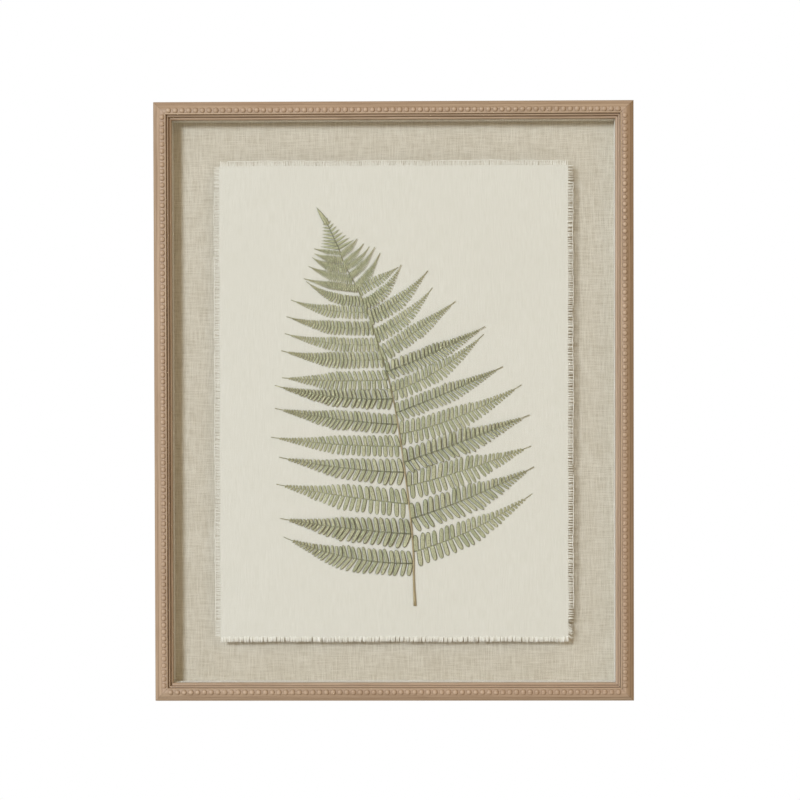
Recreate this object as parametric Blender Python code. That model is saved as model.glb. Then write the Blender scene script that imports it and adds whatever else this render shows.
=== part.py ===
# Pressed fern frame: a dried fern frond on a frayed linen sheet, in a shadow-box frame of beaded wood.
# Metres, +Z up. The front faces -Y, and the origin is the point on the wall that the frame hangs on.
# The pieces are made round the middle of the dust cover's rear face, and hang_up moves them all at the end.
# Depth is counted forwards from that rear face, so until then a point at depth d has y = -d.

import math
from collections import namedtuple

import bmesh
import bpy
from mathutils import Vector

MM = 0.001
GAP = 0.3 * MM  # between pieces that rest on each other

# The frame, a 16 x 20 inch moulding
FRAME_WIDTH = 0.4064
FRAME_HEIGHT = 0.508
RAIL_WALL = 9.5 * MM  # wood beside the rebate
RAIL_FACE = 15.6 * MM  # from the outer edge to the lip
LIP_BACK, LIP_FRONT = 23.2 * MM, 24.6 * MM  # depths of the lip's two faces
SEAT_DEPTH = 33.2 * MM  # depth of the flat that the beads stand on
SEAT_OUTER, SEAT_INNER = 6.5 * MM, 10.9 * MM
BEAD_TOP = 35.0 * MM
BEAD_ACROSS = 2.2 * MM  # flat top of a faceted bead, across the rail
BEAD_ALONG = 2.4 * MM
BEAD_END_ROOM = 5.6 * MM  # from the last bead's middle to the mitre, along the row of beads
BEADS_ACROSS_TOP = 67
BEADS_DOWN_SIDE = 85

# What is stacked in the rebate, from the back
COVER_THICKNESS = 0.4 * MM
BACK_BOARD_THICKNESS = 3.0 * MM
LINEN_BOARD_THICKNESS = 3.0 * MM
RISER_THICKNESS = 9.5 * MM
SHEET_THICKNESS = 0.8 * MM
GLASS_THICKNESS = 2.0 * MM
REBATE_PLAY = 0.5 * MM
COVER_INSET = 1.5 * MM
RISER_WIDTH, RISER_HEIGHT = 0.266, 0.370
RAIL_BACK = COVER_THICKNESS + GAP
SHEET_WIDTH, SHEET_HEIGHT = 0.306, 0.410  # to the tips of the fringe

# The frond
LEAFLET_THICKNESS = 0.35 * MM
LEVEL_STEP = 0.65 * MM  # from one leaflet up to the next that lies over it
STEM_BOTTOM, STEM_TOP = -0.1735, 0.129
STEM_SPREAD = 12.0 * MM  # over this length the foot narrows to the stem's own width
FOOT_WIDTH, STEM_WIDTH, STEM_END_WIDTH = 2.5 * MM, 1.5 * MM, 0.8 * MM
FOOT_DEPTH, STEM_END_DEPTH = 1.9 * MM, 0.8 * MM
STEM_STATIONS = 18
TOOTH_PITCH = 9.2 * MM
FEWEST_TEETH = 3
STEM_CLEARANCE = 0.7 * MM  # from the stem's side to the leaflets
TOOTH_LEAN = 0.35  # how far a tooth points to the leaflet's tip, as a share of its reach
NOTCH = 0.66  # reach of the notch between two teeth, as a share of the teeth's
WIDE_SHARE = 0.48  # share of a leaflet's length before it starts to taper
TIP_HALF_WIDTH = 0.35 * MM
TIP_LOBES = 9
TIP_LOBES_HEIGHT = 24.0 * MM  # from the first lobe's foot to the last one's
TIP_LOBE_RISE = 1.0 * MM  # a lobe's point above its foot
TIP_NOTCH_RISE = 1.6 * MM
TIP_TOP = Vector((-65.0 * MM, 165.0 * MM))

# What it hangs on
HANGER_LENGTH, HANGER_HEIGHT = 46.0 * MM, 7.4 * MM
HANGER_THICKNESS = 0.8 * MM
HANGER_STAND_OFF = 1.2 * MM
HANGER_TAB = 8.0 * MM
HANGER_BEND = 1.6 * MM
HANGER_TEETH = 11
HANGER_TOOTH = 1.1 * MM
HANGER_BELOW_EDGE = 4.9 * MM  # from the frame's top edge to the hanger's middle
NAIL_RADIUS, NAIL_HEAD_RADIUS = 0.7 * MM, 1.8 * MM
NAIL_HEAD, NAIL_LENGTH = 0.7 * MM, 10.0 * MM
NAIL_POINT = 1.5 * MM
NAIL_SIDES = 12
NAIL_ROOM = 0.3 * MM
NAIL_CUT_BEHIND = 5.0 * MM  # how far the hole's cutter starts behind the hanger
BUMPER_RADIUS, BUMPER_THICKNESS = 4.0 * MM, 2.2 * MM
BUMPER_FROM_SIDE, BUMPER_FROM_BOTTOM = 6.2 * MM, 14.0 * MM
BUMPER_SIDES = 20

# Where it hangs: in the hanger's middle notch, in the plane of the bumpers' rear faces
HANGER_MIDDLE = FRAME_HEIGHT / 2 - HANGER_BELOW_EDGE
NOTCH_TOP = HANGER_MIDDLE - HANGER_HEIGHT / 2 + HANGER_TOOTH
HANG_POINT = Vector((0.0, GAP + BUMPER_THICKNESS, NOTCH_TOP))

# The rail's section as (distance in from the outer edge, depth), round from the back outer corner.
# The two points of the bead seat follow the slope, and two steps lead down from its inner side to the lip.
RAIL_SECTION = [
    (0.0, RAIL_BACK),
    (0.0, 24.6 * MM),
    (0.5 * MM, 25.6 * MM),
    (2.2 * MM, 28.2 * MM),
    (4.2 * MM, 30.7 * MM),
    (5.6 * MM, 32.2 * MM),
    (SEAT_OUTER, SEAT_DEPTH),
    (SEAT_INNER, SEAT_DEPTH),
    (11.5 * MM, SEAT_DEPTH),
    (12.1 * MM, 31.0 * MM),
    (13.2 * MM, 29.8 * MM),
    (13.7 * MM, 27.8 * MM),
    (14.8 * MM, 26.4 * MM),
    (RAIL_FACE, LIP_FRONT),
    (RAIL_FACE, LIP_BACK),
    (RAIL_WALL, LIP_BACK),
    (RAIL_WALL, RAIL_BACK),
]
SEAT_INDEX = 6  # RAIL_SECTION's place for the seat's outer edge

# Middle of the stem as (x, z), read off the photograph from the foot up
STEM_ROUTE = [
    (17.5, -173.5),
    (16.5, -150.0),
    (16.2, -127.0),
    (13.8, -98.0),
    (9.6, -63.0),
    (3.8, -22.0),
    (-3.4, 15.0),
    (-11.7, 43.5),
    (-20.4, 71.0),
    (-31.5, 97.5),
    (-42.0, 117.0),
    (-46.2, 129.5),
    (-52.2, 142.5),
    (-58.5, 155.5),
    (-65.0, 166.0),
]

# Leaflets from the foot up, in millimetres on the sheet: the height at which each leaves the stem, its tip,
# how far its midrib droops below a straight line, its reach to each side of the midrib near the stem and
# halfway, and the level it lies at, 0 on the sheet.
Leaflet = namedtuple("Leaflet", "base_z tip_x tip_z droop reach_near reach_half level")
LEFT_LEAFLETS = [
    Leaflet(-137.5, -94.0, -115.0, 6.0, 11.0, 11.0, 1),
    Leaflet(-112.5, -97.0, -99.0, 1.5, 12.5, 10.5, 2),
    Leaflet(-87.0, -100.0, -70.0, 1.5, 12.5, 11.0, 0),
    Leaflet(-60.0, -97.5, -47.0, 2.5, 12.0, 8.5, 1),
    Leaflet(-38.0, -104.5, -30.0, 2.0, 9.5, 8.0, 0),
    Leaflet(-19.5, -101.0, -5.5, 2.0, 8.5, 8.5, 1),
    Leaflet(2.5, -101.0, 14.0, 4.0, 9.0, 7.5, 2),
    Leaflet(18.5, -95.0, 20.5, 1.5, 8.5, 8.5, 0),
    Leaflet(36.0, -95.5, 43.5, 3.5, 7.0, 7.0, 1),
    Leaflet(48.5, -92.5, 58.0, 3.5, 6.0, 6.0, 0),
    Leaflet(62.5, -91.0, 72.5, 3.5, 6.0, 6.0, 1),
    Leaflet(76.0, -87.0, 86.5, 3.5, 5.5, 5.5, 0),
    Leaflet(85.5, -74.0, 102.0, 5.0, 4.5, 4.5, 1),
    Leaflet(96.0, -76.0, 104.5, 1.0, 3.5, 3.5, 2),
    Leaflet(104.0, -72.0, 115.0, 2.0, 4.0, 4.0, 0),
    Leaflet(113.0, -69.0, 122.5, 2.5, 4.0, 4.0, 1),
    Leaflet(120.0, -67.0, 125.5, 1.0, 3.0, 3.0, 2),
    Leaflet(126.0, -67.5, 130.0, 0.5, 2.0, 2.0, 0),
]
RIGHT_LEAFLETS = [
    Leaflet(-127.5, 117.5, -78.5, 5.5, 13.5, 11.0, 0),
    Leaflet(-99.5, 119.0, -55.5, 3.0, 12.5, 12.5, 1),
    Leaflet(-72.0, 116.5, -38.0, 2.0, 12.0, 12.0, 0),
    Leaflet(-51.5, 115.0, -11.5, 1.0, 11.0, 11.0, 2),
    Leaflet(-27.5, 108.5, 14.0, 5.5, 10.5, 10.5, 0),
    Leaflet(-9.5, 92.5, 29.5, 1.5, 8.5, 8.5, 1),
    Leaflet(8.5, 76.5, 57.0, 6.5, 8.5, 8.5, 0),
    Leaflet(25.5, 77.5, 63.5, 2.0, 8.0, 8.0, 2),
    Leaflet(40.0, 52.5, 85.0, 1.0, 7.0, 7.0, 1),
    Leaflet(56.0, 33.0, 96.5, 5.0, 6.5, 6.5, 0),
    Leaflet(71.5, 29.0, 111.0, 5.5, 6.5, 6.5, 1),
    Leaflet(83.0, 6.5, 116.0, 6.5, 5.0, 5.0, 2),
    Leaflet(93.5, 4.0, 114.0, 0.0, 4.5, 4.5, 0),
    Leaflet(98.0, -11.5, 126.0, 3.5, 4.0, 4.0, 1),
    Leaflet(107.0, -16.0, 131.0, 3.0, 4.0, 4.0, 2),
    Leaflet(114.0, -20.5, 131.5, 3.0, 3.5, 3.5, 0),
    Leaflet(117.5, -25.5, 134.0, 1.5, 3.5, 3.5, 1),
    Leaflet(124.5, -31.0, 138.0, 1.0, 3.0, 3.0, 2),
]

# The fused lobes of the frond's tip: reach and rise of the first and of the last, and how soon they shorten
Lobes = namedtuple("Lobes", "reach_first reach_last rise_first rise_last ease")
TIP_LOBE_LEFT = Lobes(15.5 * MM, 3.0 * MM, math.radians(4), math.radians(4), 0.85)
TIP_LOBE_RIGHT = Lobes(14.5 * MM, 3.3 * MM, math.radians(29), math.radians(59), 0.7)
TIP_NOTCH = 0.36

# Depths that follow from the stack
BACK_BOARD_BACK = RAIL_BACK + GAP
LINEN_BOARD_BACK = BACK_BOARD_BACK + BACK_BOARD_THICKNESS + GAP
RISER_BACK = LINEN_BOARD_BACK + LINEN_BOARD_THICKNESS + GAP
SHEET_BACK = RISER_BACK + RISER_THICKNESS + GAP
FERN_BACK = SHEET_BACK + SHEET_THICKNESS + GAP
GLASS_BACK = LIP_BACK - GAP - GLASS_THICKNESS

PALETTE = {
    "wood": ((176, 150, 124), 0.55, 0.0),
    "glass": ((235, 242, 240), 0.03, 0.0),
    "backing_linen": ((200, 194, 176), 0.9, 0.0),
    "sheet_linen": ((219, 216, 203), 0.9, 0.0),
    "foam": ((238, 236, 230), 0.8, 0.0),
    "leaf": ((160, 160, 128), 0.8, 0.0),
    "stem": ((170, 155, 115), 0.7, 0.0),
    "board": ((150, 120, 88), 0.8, 0.0),
    "paper": ((176, 142, 102), 0.85, 0.0),
    "metal": ((190, 180, 150), 0.35, 1.0),
    "bumper": ((210, 208, 200), 0.6, 0.0),
}


def clear_scene():
    for obj in list(bpy.data.objects):
        bpy.data.objects.remove(obj, do_unlink=True)


def linear(channel):
    """One sRGB channel from 0 to 255 as a linear value."""
    c = channel / 255
    return c / 12.92 if c <= 0.04045 else ((c + 0.055) / 1.055) ** 2.4


def material(finish):
    """The palette's material, made the first time it is asked for."""
    if finish in bpy.data.materials:
        return bpy.data.materials[finish]
    color, roughness, metallic = PALETTE[finish]
    made = bpy.data.materials.new(finish)
    made.use_nodes = True
    shader = made.node_tree.nodes["Principled BSDF"]
    shader.inputs["Base Color"].default_value = (*map(linear, color), 1.0)
    shader.inputs["Roughness"].default_value = roughness
    shader.inputs["Metallic"].default_value = metallic
    if finish == "glass":
        shader.inputs["Transmission Weight"].default_value = 1.0
    return made


def add_object(name, bm, finish):
    """A named object from a closed bmesh, with its faces turned outwards."""
    bmesh.ops.recalc_face_normals(bm, faces=bm.faces)
    mesh = bpy.data.meshes.new(name)
    bm.to_mesh(mesh)
    bm.free()
    mesh.materials.append(material(finish))
    obj = bpy.data.objects.new(name, mesh)
    bpy.context.scene.collection.objects.link(obj)
    return obj


def add_block(name, finish, x_range, depth_range, z_range):
    """A box between two x, two depths and two z."""
    bm = bmesh.new()
    bmesh.ops.create_cube(bm, size=1.0)
    for vert in bm.verts:
        vert.co = Vector(
            (
                x_range[vert.co.x > 0],
                -depth_range[vert.co.y < 0],
                z_range[vert.co.z > 0],
            )
        )
    return add_object(name, bm, finish)


def add_plate(name, finish, outline, depth_range):
    """A flat plate parallel to the glass, from an outline of (x, z) points."""
    bm = bmesh.new()
    rings = [[bm.verts.new((x, -depth, z)) for x, z in outline] for depth in depth_range]
    for ring in rings:
        bm.faces.new(ring)
    for i in range(len(outline)):
        j = (i + 1) % len(outline)
        bm.faces.new((rings[0][i], rings[0][j], rings[1][j], rings[1][i]))
    return add_object(name, bm, finish)


def add_disc(name, finish, x, z, depth_range, radius, sides):
    """A short cylinder whose axis is the frame's depth."""
    turns = [2 * math.pi * i / sides for i in range(sides)]
    outline = [(x + radius * math.cos(a), z + radius * math.sin(a)) for a in turns]
    return add_plate(name, finish, outline, depth_range)


# Rails


def rail_point(side, along, inward, depth):
    """A point of a rail in the frame: along runs down the rail's length from its middle."""
    if side == "top":
        return Vector((along, -depth, FRAME_HEIGHT / 2 - inward))
    if side == "bottom":
        return Vector((along, -depth, inward - FRAME_HEIGHT / 2))
    if side == "left":
        return Vector((inward - FRAME_WIDTH / 2, -depth, along))
    return Vector((FRAME_WIDTH / 2 - inward, -depth, along))


def add_fan(bm, line, start, end):
    """Triangles between a line of many points and the two points of the edge that faces it."""
    half = len(line) // 2
    for i in range(len(line) - 1):
        bm.faces.new((start if i < half else end, line[i], line[i + 1]))
    bm.faces.new((start, line[half], end))


def add_bead(bm, outer, inner, side, middle):
    """One faceted bead on the four seat points around it: outer and inner are its two points on each edge."""
    across = (SEAT_OUTER + SEAT_INNER) / 2
    corners = ((-1, -1), (1, -1), (1, 1), (-1, 1))
    top = [
        bm.verts.new(
            rail_point(side, middle + a * BEAD_ALONG / 2, across + b * BEAD_ACROSS / 2, BEAD_TOP)
        )
        for a, b in corners
    ]
    foot = [outer[0], outer[1], inner[1], inner[0]]
    bm.faces.new(top)
    for i in range(4):
        j = (i + 1) % 4
        bm.faces.new((foot[i], foot[j], top[j], top[i]))


def add_rail(side, length, bead_count):
    """A mitred rail with its row of beads."""
    bm = bmesh.new()
    ends = []
    for direction in (-1, 1):
        # Half the gap at each mitre, square to its 45 degree face
        setback = GAP / 2 * math.sqrt(2)
        ring = [
            bm.verts.new(rail_point(side, direction * (length / 2 - u - setback), u, depth))
            for u, depth in RAIL_SECTION
        ]
        bm.faces.new(ring)
        ends.append(ring)
    start, end = ends

    row = length - (SEAT_OUTER + SEAT_INNER) - 2 * BEAD_END_ROOM
    pitch = row / (bead_count - 1)
    stops = [(i - bead_count / 2) * pitch for i in range(bead_count + 1)]
    edges = []
    for inward in (SEAT_OUTER, SEAT_INNER):
        edges.append([bm.verts.new(rail_point(side, t, inward, SEAT_DEPTH)) for t in stops])
    outer, inner = edges
    for i in range(bead_count):
        middle = (stops[i] + stops[i + 1]) / 2
        add_bead(bm, outer[i : i + 2], inner[i : i + 2], side, middle)

    a, b = SEAT_INDEX, SEAT_INDEX + 1
    bm.faces.new((start[a], outer[0], inner[0], start[b]))
    bm.faces.new((end[a], outer[-1], inner[-1], end[b]))
    add_fan(bm, [start[a], *outer, end[a]], start[a - 1], end[a - 1])
    add_fan(bm, [start[b], *inner, end[b]], start[b + 1], end[b + 1])
    count = len(RAIL_SECTION)
    for i in range(count):
        if i in (a - 1, a, b):
            continue
        j = (i + 1) % count
        bm.faces.new((start[i], start[j], end[j], end[i]))
    return add_object(f"rail_{side}", bm, "wood")


# What is in the rebate


def add_backing():
    """Glass, spacers and boards, all cut to the rebate."""
    half_x = FRAME_WIDTH / 2 - RAIL_WALL - REBATE_PLAY
    half_z = FRAME_HEIGHT / 2 - RAIL_WALL - REBATE_PLAY
    full = ((-half_x, half_x), (-half_z, half_z))

    def sheet(name, finish, back, thickness):
        add_block(name, finish, full[0], (back, back + thickness), full[1])

    sheet("glass", "glass", GLASS_BACK, GLASS_THICKNESS)
    sheet("linen_board", "backing_linen", LINEN_BOARD_BACK, LINEN_BOARD_THICKNESS)
    sheet("back_board", "board", BACK_BOARD_BACK, BACK_BOARD_THICKNESS)

    lip_x, lip_z = FRAME_WIDTH / 2 - RAIL_FACE, FRAME_HEIGHT / 2 - RAIL_FACE
    depths = (RISER_BACK, GLASS_BACK - GAP)
    add_block("spacer_left", "backing_linen", (-half_x, -lip_x), depths, full[1])
    add_block("spacer_right", "backing_linen", (lip_x, half_x), depths, full[1])
    between = (GAP - lip_x, lip_x - GAP)
    add_block("spacer_top", "backing_linen", between, depths, (lip_z, half_z))
    add_block("spacer_bottom", "backing_linen", between, depths, (-half_z, -lip_z))

    def centred(name, finish, width, height, depth_range):
        return add_block(name, finish, (-width / 2, width / 2), depth_range, (-height / 2, height / 2))

    riser = (RISER_BACK, RISER_BACK + RISER_THICKNESS)
    centred("riser_board", "foam", RISER_WIDTH, RISER_HEIGHT, riser)
    cloth = (SHEET_BACK, SHEET_BACK + SHEET_THICKNESS)
    centred("frayed_sheet", "sheet_linen", SHEET_WIDTH, SHEET_HEIGHT, cloth)
    cover = (FRAME_WIDTH - 2 * COVER_INSET, FRAME_HEIGHT - 2 * COVER_INSET)
    return centred("dust_cover", "paper", *cover, (0.0, COVER_THICKNESS))


# The frond


def stem_x(z):
    """The stem's middle at a height, on a smooth curve through its route."""
    points = STEM_ROUTE
    i = 0
    while i < len(points) - 2 and z > points[i + 1][1] * MM:
        i += 1

    def slope(k):
        low, high = points[max(k - 1, 0)], points[min(k + 1, len(points) - 1)]
        return (high[0] - low[0]) / (high[1] - low[1])

    (x0, z0), (x1, z1) = points[i], points[i + 1]
    span = z1 - z0
    t = (z / MM - z0) / span
    rise = t * t * (3 - 2 * t)
    leave = t * (1 - t) * (1 - t) * span * slope(i)
    arrive = t * t * (t - 1) * span * slope(i + 1)
    return (x0 + (x1 - x0) * rise + leave + arrive) * MM


def stem_half_width(z):
    """Half the stem's width at a height: the foot flares, and the top is thin."""
    up = (z - STEM_BOTTOM) / (STEM_TOP - STEM_BOTTOM)
    plain = STEM_WIDTH + (STEM_END_WIDTH - STEM_WIDTH) * up
    flare = (FOOT_WIDTH - STEM_WIDTH) * math.exp(-(z - STEM_BOTTOM) / STEM_SPREAD)
    return (plain + flare) / 2


def add_stem():
    """The stem as a flattened six-sided stalk lying on the sheet."""
    bm = bmesh.new()
    rings = []
    for i in range(STEM_STATIONS + 1):
        up = i / STEM_STATIONS
        z = STEM_BOTTOM + (STEM_TOP - STEM_BOTTOM) * up
        half = stem_half_width(z)
        thick = FOOT_DEPTH + (STEM_END_DEPTH - FOOT_DEPTH) * up
        shape = ((-0.6, 0), (-1, 0.45), (-0.5, 1), (0.5, 1), (1, 0.45), (0.6, 0))
        rings.append(
            [bm.verts.new((stem_x(z) + a * half, -FERN_BACK - b * thick, z)) for a, b in shape]
        )
    bm.faces.new(rings[0])
    bm.faces.new(rings[-1])
    for low, high in zip(rings, rings[1:]):
        for k in range(6):
            m = (k + 1) % 6
            bm.faces.new((low[k], low[m], high[m], high[k]))
    return add_object("stem", bm, "stem")


def leaflet_outline(leaflet, side):
    """The toothed outline of a leaflet, as (x, z): out along its upper side and back along its lower one."""
    base_z = leaflet.base_z * MM
    start = Vector((stem_x(base_z) + side * (stem_half_width(base_z) + STEM_CLEARANCE), base_z))
    tip = Vector((leaflet.tip_x, leaflet.tip_z)) * MM
    chord = tip - start
    along = chord.normalized()
    across = Vector((-along.y, along.x)) * side
    teeth = max(FEWEST_TEETH, round(chord.length / TOOTH_PITCH))

    def midrib(s):
        sag = Vector((0.0, -4 * leaflet.droop * MM * s * (1 - s)))
        return start + chord * s + sag

    def reach(s):
        near = leaflet.reach_near + (leaflet.reach_half - leaflet.reach_near) * min(s / 0.5, 1.0)
        taper = 1.0 if s < WIDE_SHARE else ((1 - s) / (1 - WIDE_SHARE)) ** 1.1
        return near * MM * taper + TIP_HALF_WIDTH

    def place(k):
        """Share of the length at tooth k: teeth stand closer near the tip."""
        x = k / teeth
        return x * (1 + 0.3 * (1 - x))

    def keep_off_stem(point):
        z = min(max(point.y, STEM_BOTTOM), STEM_TOP)
        edge = stem_x(z) + side * (stem_half_width(z) + STEM_CLEARANCE)
        return Vector((max(point.x, edge) if side > 0 else min(point.x, edge), point.y))

    def edge_points(sign):
        points = [start + across * sign * reach(0) * NOTCH]
        for k in range(teeth):
            tooth, notch = place(k + 0.45), place(k + 1)
            full = reach(tooth)
            lean = along * full * TOOTH_LEAN * (1 - tooth)
            points.append(midrib(tooth) + across * sign * full + lean)
            if k < teeth - 1:
                points.append(midrib(notch) + across * sign * reach(notch) * NOTCH + lean)
        return [keep_off_stem(p) for p in points]

    return edge_points(1) + [tip] + edge_points(-1)[::-1]


def add_leaflets(side_name, side, leaflets):
    for number, leaflet in enumerate(leaflets, 1):
        back = FERN_BACK + leaflet.level * LEVEL_STEP
        depths = (back, back + LEAFLET_THICKNESS)
        outline = leaflet_outline(leaflet, side)
        add_plate(f"leaflet_{side_name}_{number:02d}", "leaf", outline, depths)


def add_frond_tip():
    """The fused lobes above the last separate leaflets."""
    low, high = STEM_TOP + GAP, STEM_TOP + TIP_LOBES_HEIGHT

    def lobes(side, form):
        points = []
        for k in range(TIP_LOBES):
            share = k / (TIP_LOBES - 1)
            z = low + (high - low) * share + TIP_LOBE_RISE
            reach = form.reach_first + (form.reach_last - form.reach_first) * share**form.ease
            rise = form.rise_first + (form.rise_last - form.rise_first) * share**2
            root = Vector((stem_x(z), z))
            out = Vector((side * math.cos(rise), math.sin(rise)))
            points.append(root + out * reach)
            points.append(root + out * reach * TIP_NOTCH + Vector((0.0, TIP_NOTCH_RISE)))
        return points[:-1]

    foot = stem_half_width(STEM_TOP)
    left = lobes(-1, TIP_LOBE_LEFT)
    right = lobes(1, TIP_LOBE_RIGHT)
    foot_left, foot_right = (stem_x(low) - foot, low), (stem_x(low) + foot, low)
    outline = [foot_right, *right, TIP_TOP, *left[::-1], foot_left]
    add_plate("frond_tip", "leaf", outline, (FERN_BACK, FERN_BACK + 2 * LEAFLET_THICKNESS))


# Behind the frame


def nail_places():
    reach = HANGER_LENGTH / 2 - HANGER_TAB / 2
    return {"left": (-reach, HANGER_MIDDLE), "right": (reach, HANGER_MIDDLE)}


def add_hanger():
    """A sawtooth hanger: two tabs on the paper and a toothed bridge that stands off it."""
    top, bottom = HANGER_MIDDLE + HANGER_HEIGHT / 2, HANGER_MIDDLE - HANGER_HEIGHT / 2
    bridge = HANGER_LENGTH / 2 - HANGER_TAB - HANGER_BEND
    stations = [(-HANGER_LENGTH / 2, 0.0, bottom), (-bridge - HANGER_BEND, 0.0, bottom)]
    for k in range(2 * HANGER_TEETH + 1):
        x = -bridge + 2 * bridge * k / (2 * HANGER_TEETH)
        stations.append((x, HANGER_STAND_OFF, bottom + HANGER_TOOTH * (k % 2)))
    stations += [(bridge + HANGER_BEND, 0.0, bottom), (HANGER_LENGTH / 2, 0.0, bottom)]

    bm = bmesh.new()
    rings = []
    for x, lift, foot in stations:
        near, far = GAP + lift, GAP + lift + HANGER_THICKNESS
        corners = ((near, foot), (near, top), (far, top), (far, foot))
        rings.append([bm.verts.new((x, y, z)) for y, z in corners])
    bm.faces.new(rings[0])
    bm.faces.new(rings[-1])
    for low, high in zip(rings, rings[1:]):
        for k in range(4):
            m = (k + 1) % 4
            bm.faces.new((low[k], low[m], high[m], high[k]))
    return add_object("sawtooth_hanger", bm, "metal")


def add_nails(*drilled):
    """Two nails, and the holes they go through."""
    head_front = GAP + HANGER_THICKNESS + GAP
    for side, (x, z) in nail_places().items():
        bm = bmesh.new()
        rings = []
        for radius, y in (
            (NAIL_RADIUS * 0.4, -NAIL_LENGTH),
            (NAIL_RADIUS, -NAIL_LENGTH + NAIL_POINT),
            (NAIL_RADIUS, head_front),
            (NAIL_HEAD_RADIUS, head_front),
            (NAIL_HEAD_RADIUS, head_front + NAIL_HEAD * 0.5),
            (NAIL_HEAD_RADIUS * 0.7, head_front + NAIL_HEAD),
        ):
            turns = [2 * math.pi * i / NAIL_SIDES for i in range(NAIL_SIDES)]
            rings.append(
                [bm.verts.new((x + radius * math.cos(a), y, z + radius * math.sin(a))) for a in turns]
            )
        bm.faces.new(rings[0])
        bm.faces.new(rings[-1])
        for low, high in zip(rings, rings[1:]):
            for k in range(NAIL_SIDES):
                m = (k + 1) % NAIL_SIDES
                bm.faces.new((low[k], low[m], high[m], high[k]))
        add_object(f"hanger_nail_{side}", bm, "metal")

        hole = (-NAIL_CUT_BEHIND, NAIL_LENGTH + NAIL_ROOM)
        cutter = add_disc(f"nail_hole_{side}", "metal", x, z, hole, NAIL_RADIUS + NAIL_ROOM, NAIL_SIDES)
        cutter.hide_render = True
        cutter.display_type = "WIRE"
        for obj in drilled:
            cut = obj.modifiers.new(f"nail_{side}", "BOOLEAN")
            cut.operation = "DIFFERENCE"
            cut.object = cutter


def add_bumpers():
    for side, sign in (("left", -1), ("right", 1)):
        x = sign * (FRAME_WIDTH / 2 - BUMPER_FROM_SIDE)
        z = BUMPER_FROM_BOTTOM - FRAME_HEIGHT / 2
        depths = (-GAP - BUMPER_THICKNESS, -GAP)
        add_disc(f"bumper_{side}", "bumper", x, z, depths, BUMPER_RADIUS, BUMPER_SIDES)


def hang_up():
    """Carries the whole frame on an empty, so that the origin is where it hangs."""
    pieces = list(bpy.data.objects)
    carrier = bpy.data.objects.new("hung_frame", None)
    bpy.context.scene.collection.objects.link(carrier)
    carrier.location = -HANG_POINT
    for piece in pieces:
        piece.parent = carrier


def main():
    clear_scene()
    rails = {side: add_rail(side, FRAME_WIDTH, BEADS_ACROSS_TOP) for side in ("top", "bottom")}
    for side in ("left", "right"):
        rails[side] = add_rail(side, FRAME_HEIGHT, BEADS_DOWN_SIDE)
    cover = add_backing()
    add_stem()
    add_leaflets("left", -1, LEFT_LEAFLETS)
    add_leaflets("right", 1, RIGHT_LEAFLETS)
    add_frond_tip()
    hanger = add_hanger()
    add_nails(rails["top"], cover, hanger)
    add_bumpers()
    hang_up()


main()
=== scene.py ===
import math
import random

import bmesh
import bpy
from mathutils import Euler, Matrix, Vector


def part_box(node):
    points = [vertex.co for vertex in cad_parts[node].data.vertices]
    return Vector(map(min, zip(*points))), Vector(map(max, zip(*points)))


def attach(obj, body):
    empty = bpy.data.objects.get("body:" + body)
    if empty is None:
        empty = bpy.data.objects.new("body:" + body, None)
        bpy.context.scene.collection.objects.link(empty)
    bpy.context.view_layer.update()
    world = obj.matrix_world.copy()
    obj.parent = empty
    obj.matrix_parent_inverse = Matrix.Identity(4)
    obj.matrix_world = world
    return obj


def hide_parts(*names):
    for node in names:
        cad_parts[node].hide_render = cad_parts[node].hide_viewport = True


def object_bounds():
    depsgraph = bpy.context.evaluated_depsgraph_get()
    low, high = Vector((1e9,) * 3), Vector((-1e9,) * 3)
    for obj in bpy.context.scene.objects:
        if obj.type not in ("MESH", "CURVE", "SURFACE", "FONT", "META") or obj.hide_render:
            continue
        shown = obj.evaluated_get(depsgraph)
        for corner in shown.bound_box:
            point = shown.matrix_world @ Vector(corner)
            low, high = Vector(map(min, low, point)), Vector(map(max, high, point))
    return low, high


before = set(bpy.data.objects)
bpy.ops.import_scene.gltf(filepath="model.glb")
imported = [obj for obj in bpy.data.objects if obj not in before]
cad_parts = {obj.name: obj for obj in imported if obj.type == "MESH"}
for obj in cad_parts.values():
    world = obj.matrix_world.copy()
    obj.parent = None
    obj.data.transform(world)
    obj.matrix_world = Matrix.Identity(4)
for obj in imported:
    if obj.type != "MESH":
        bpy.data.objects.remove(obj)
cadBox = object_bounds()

mm = 0.001
sides = ("left", "right", "top", "bottom")

# Every piece is drawn lying on its back: x to the right, y up the frame, z towards the viewer, counted from
# the middle of the paper's rear face. standing then turns it upright into its place on the wall.
paperLow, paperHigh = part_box("dust_cover")
standing = Matrix.Translation((0.0, paperHigh.y, (paperLow.z + paperHigh.z) / 2)) @ Matrix.Rotation(
    math.radians(90), 4, "X"
)
lying = standing.inverted()


def lyingBox(node):  # a CAD node's middle, lowest and highest corners in mm, lying on its back
    a, b = (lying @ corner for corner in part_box(node))
    low, high = Vector(map(min, a, b)) / mm, Vector(map(max, a, b)) / mm
    return (low + high) / 2, low, high


def onSide(side, along, out):  # x and y of a point along a side of the frame, and out from the middle
    return {"left": (-out, along), "right": (out, along), "top": (along, out), "bottom": (along, -out)}[side]


def within(low, value, high):
    return max(low, min(high, value))


# Small helpers for meshes


def meshObject(name, vertices, faces, smooth=True, sharpAngle=None):
    mesh = bpy.data.meshes.new(name)
    mesh.from_pydata([tuple(v) for v in vertices], [], faces)
    mesh.validate()
    if smooth:
        mesh.shade_smooth()
    if sharpAngle is not None:
        mesh.set_sharp_from_angle(angle=math.radians(sharpAngle))
    made = bpy.data.objects.new(name, mesh)
    bpy.context.scene.collection.objects.link(made)
    return made


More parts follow.
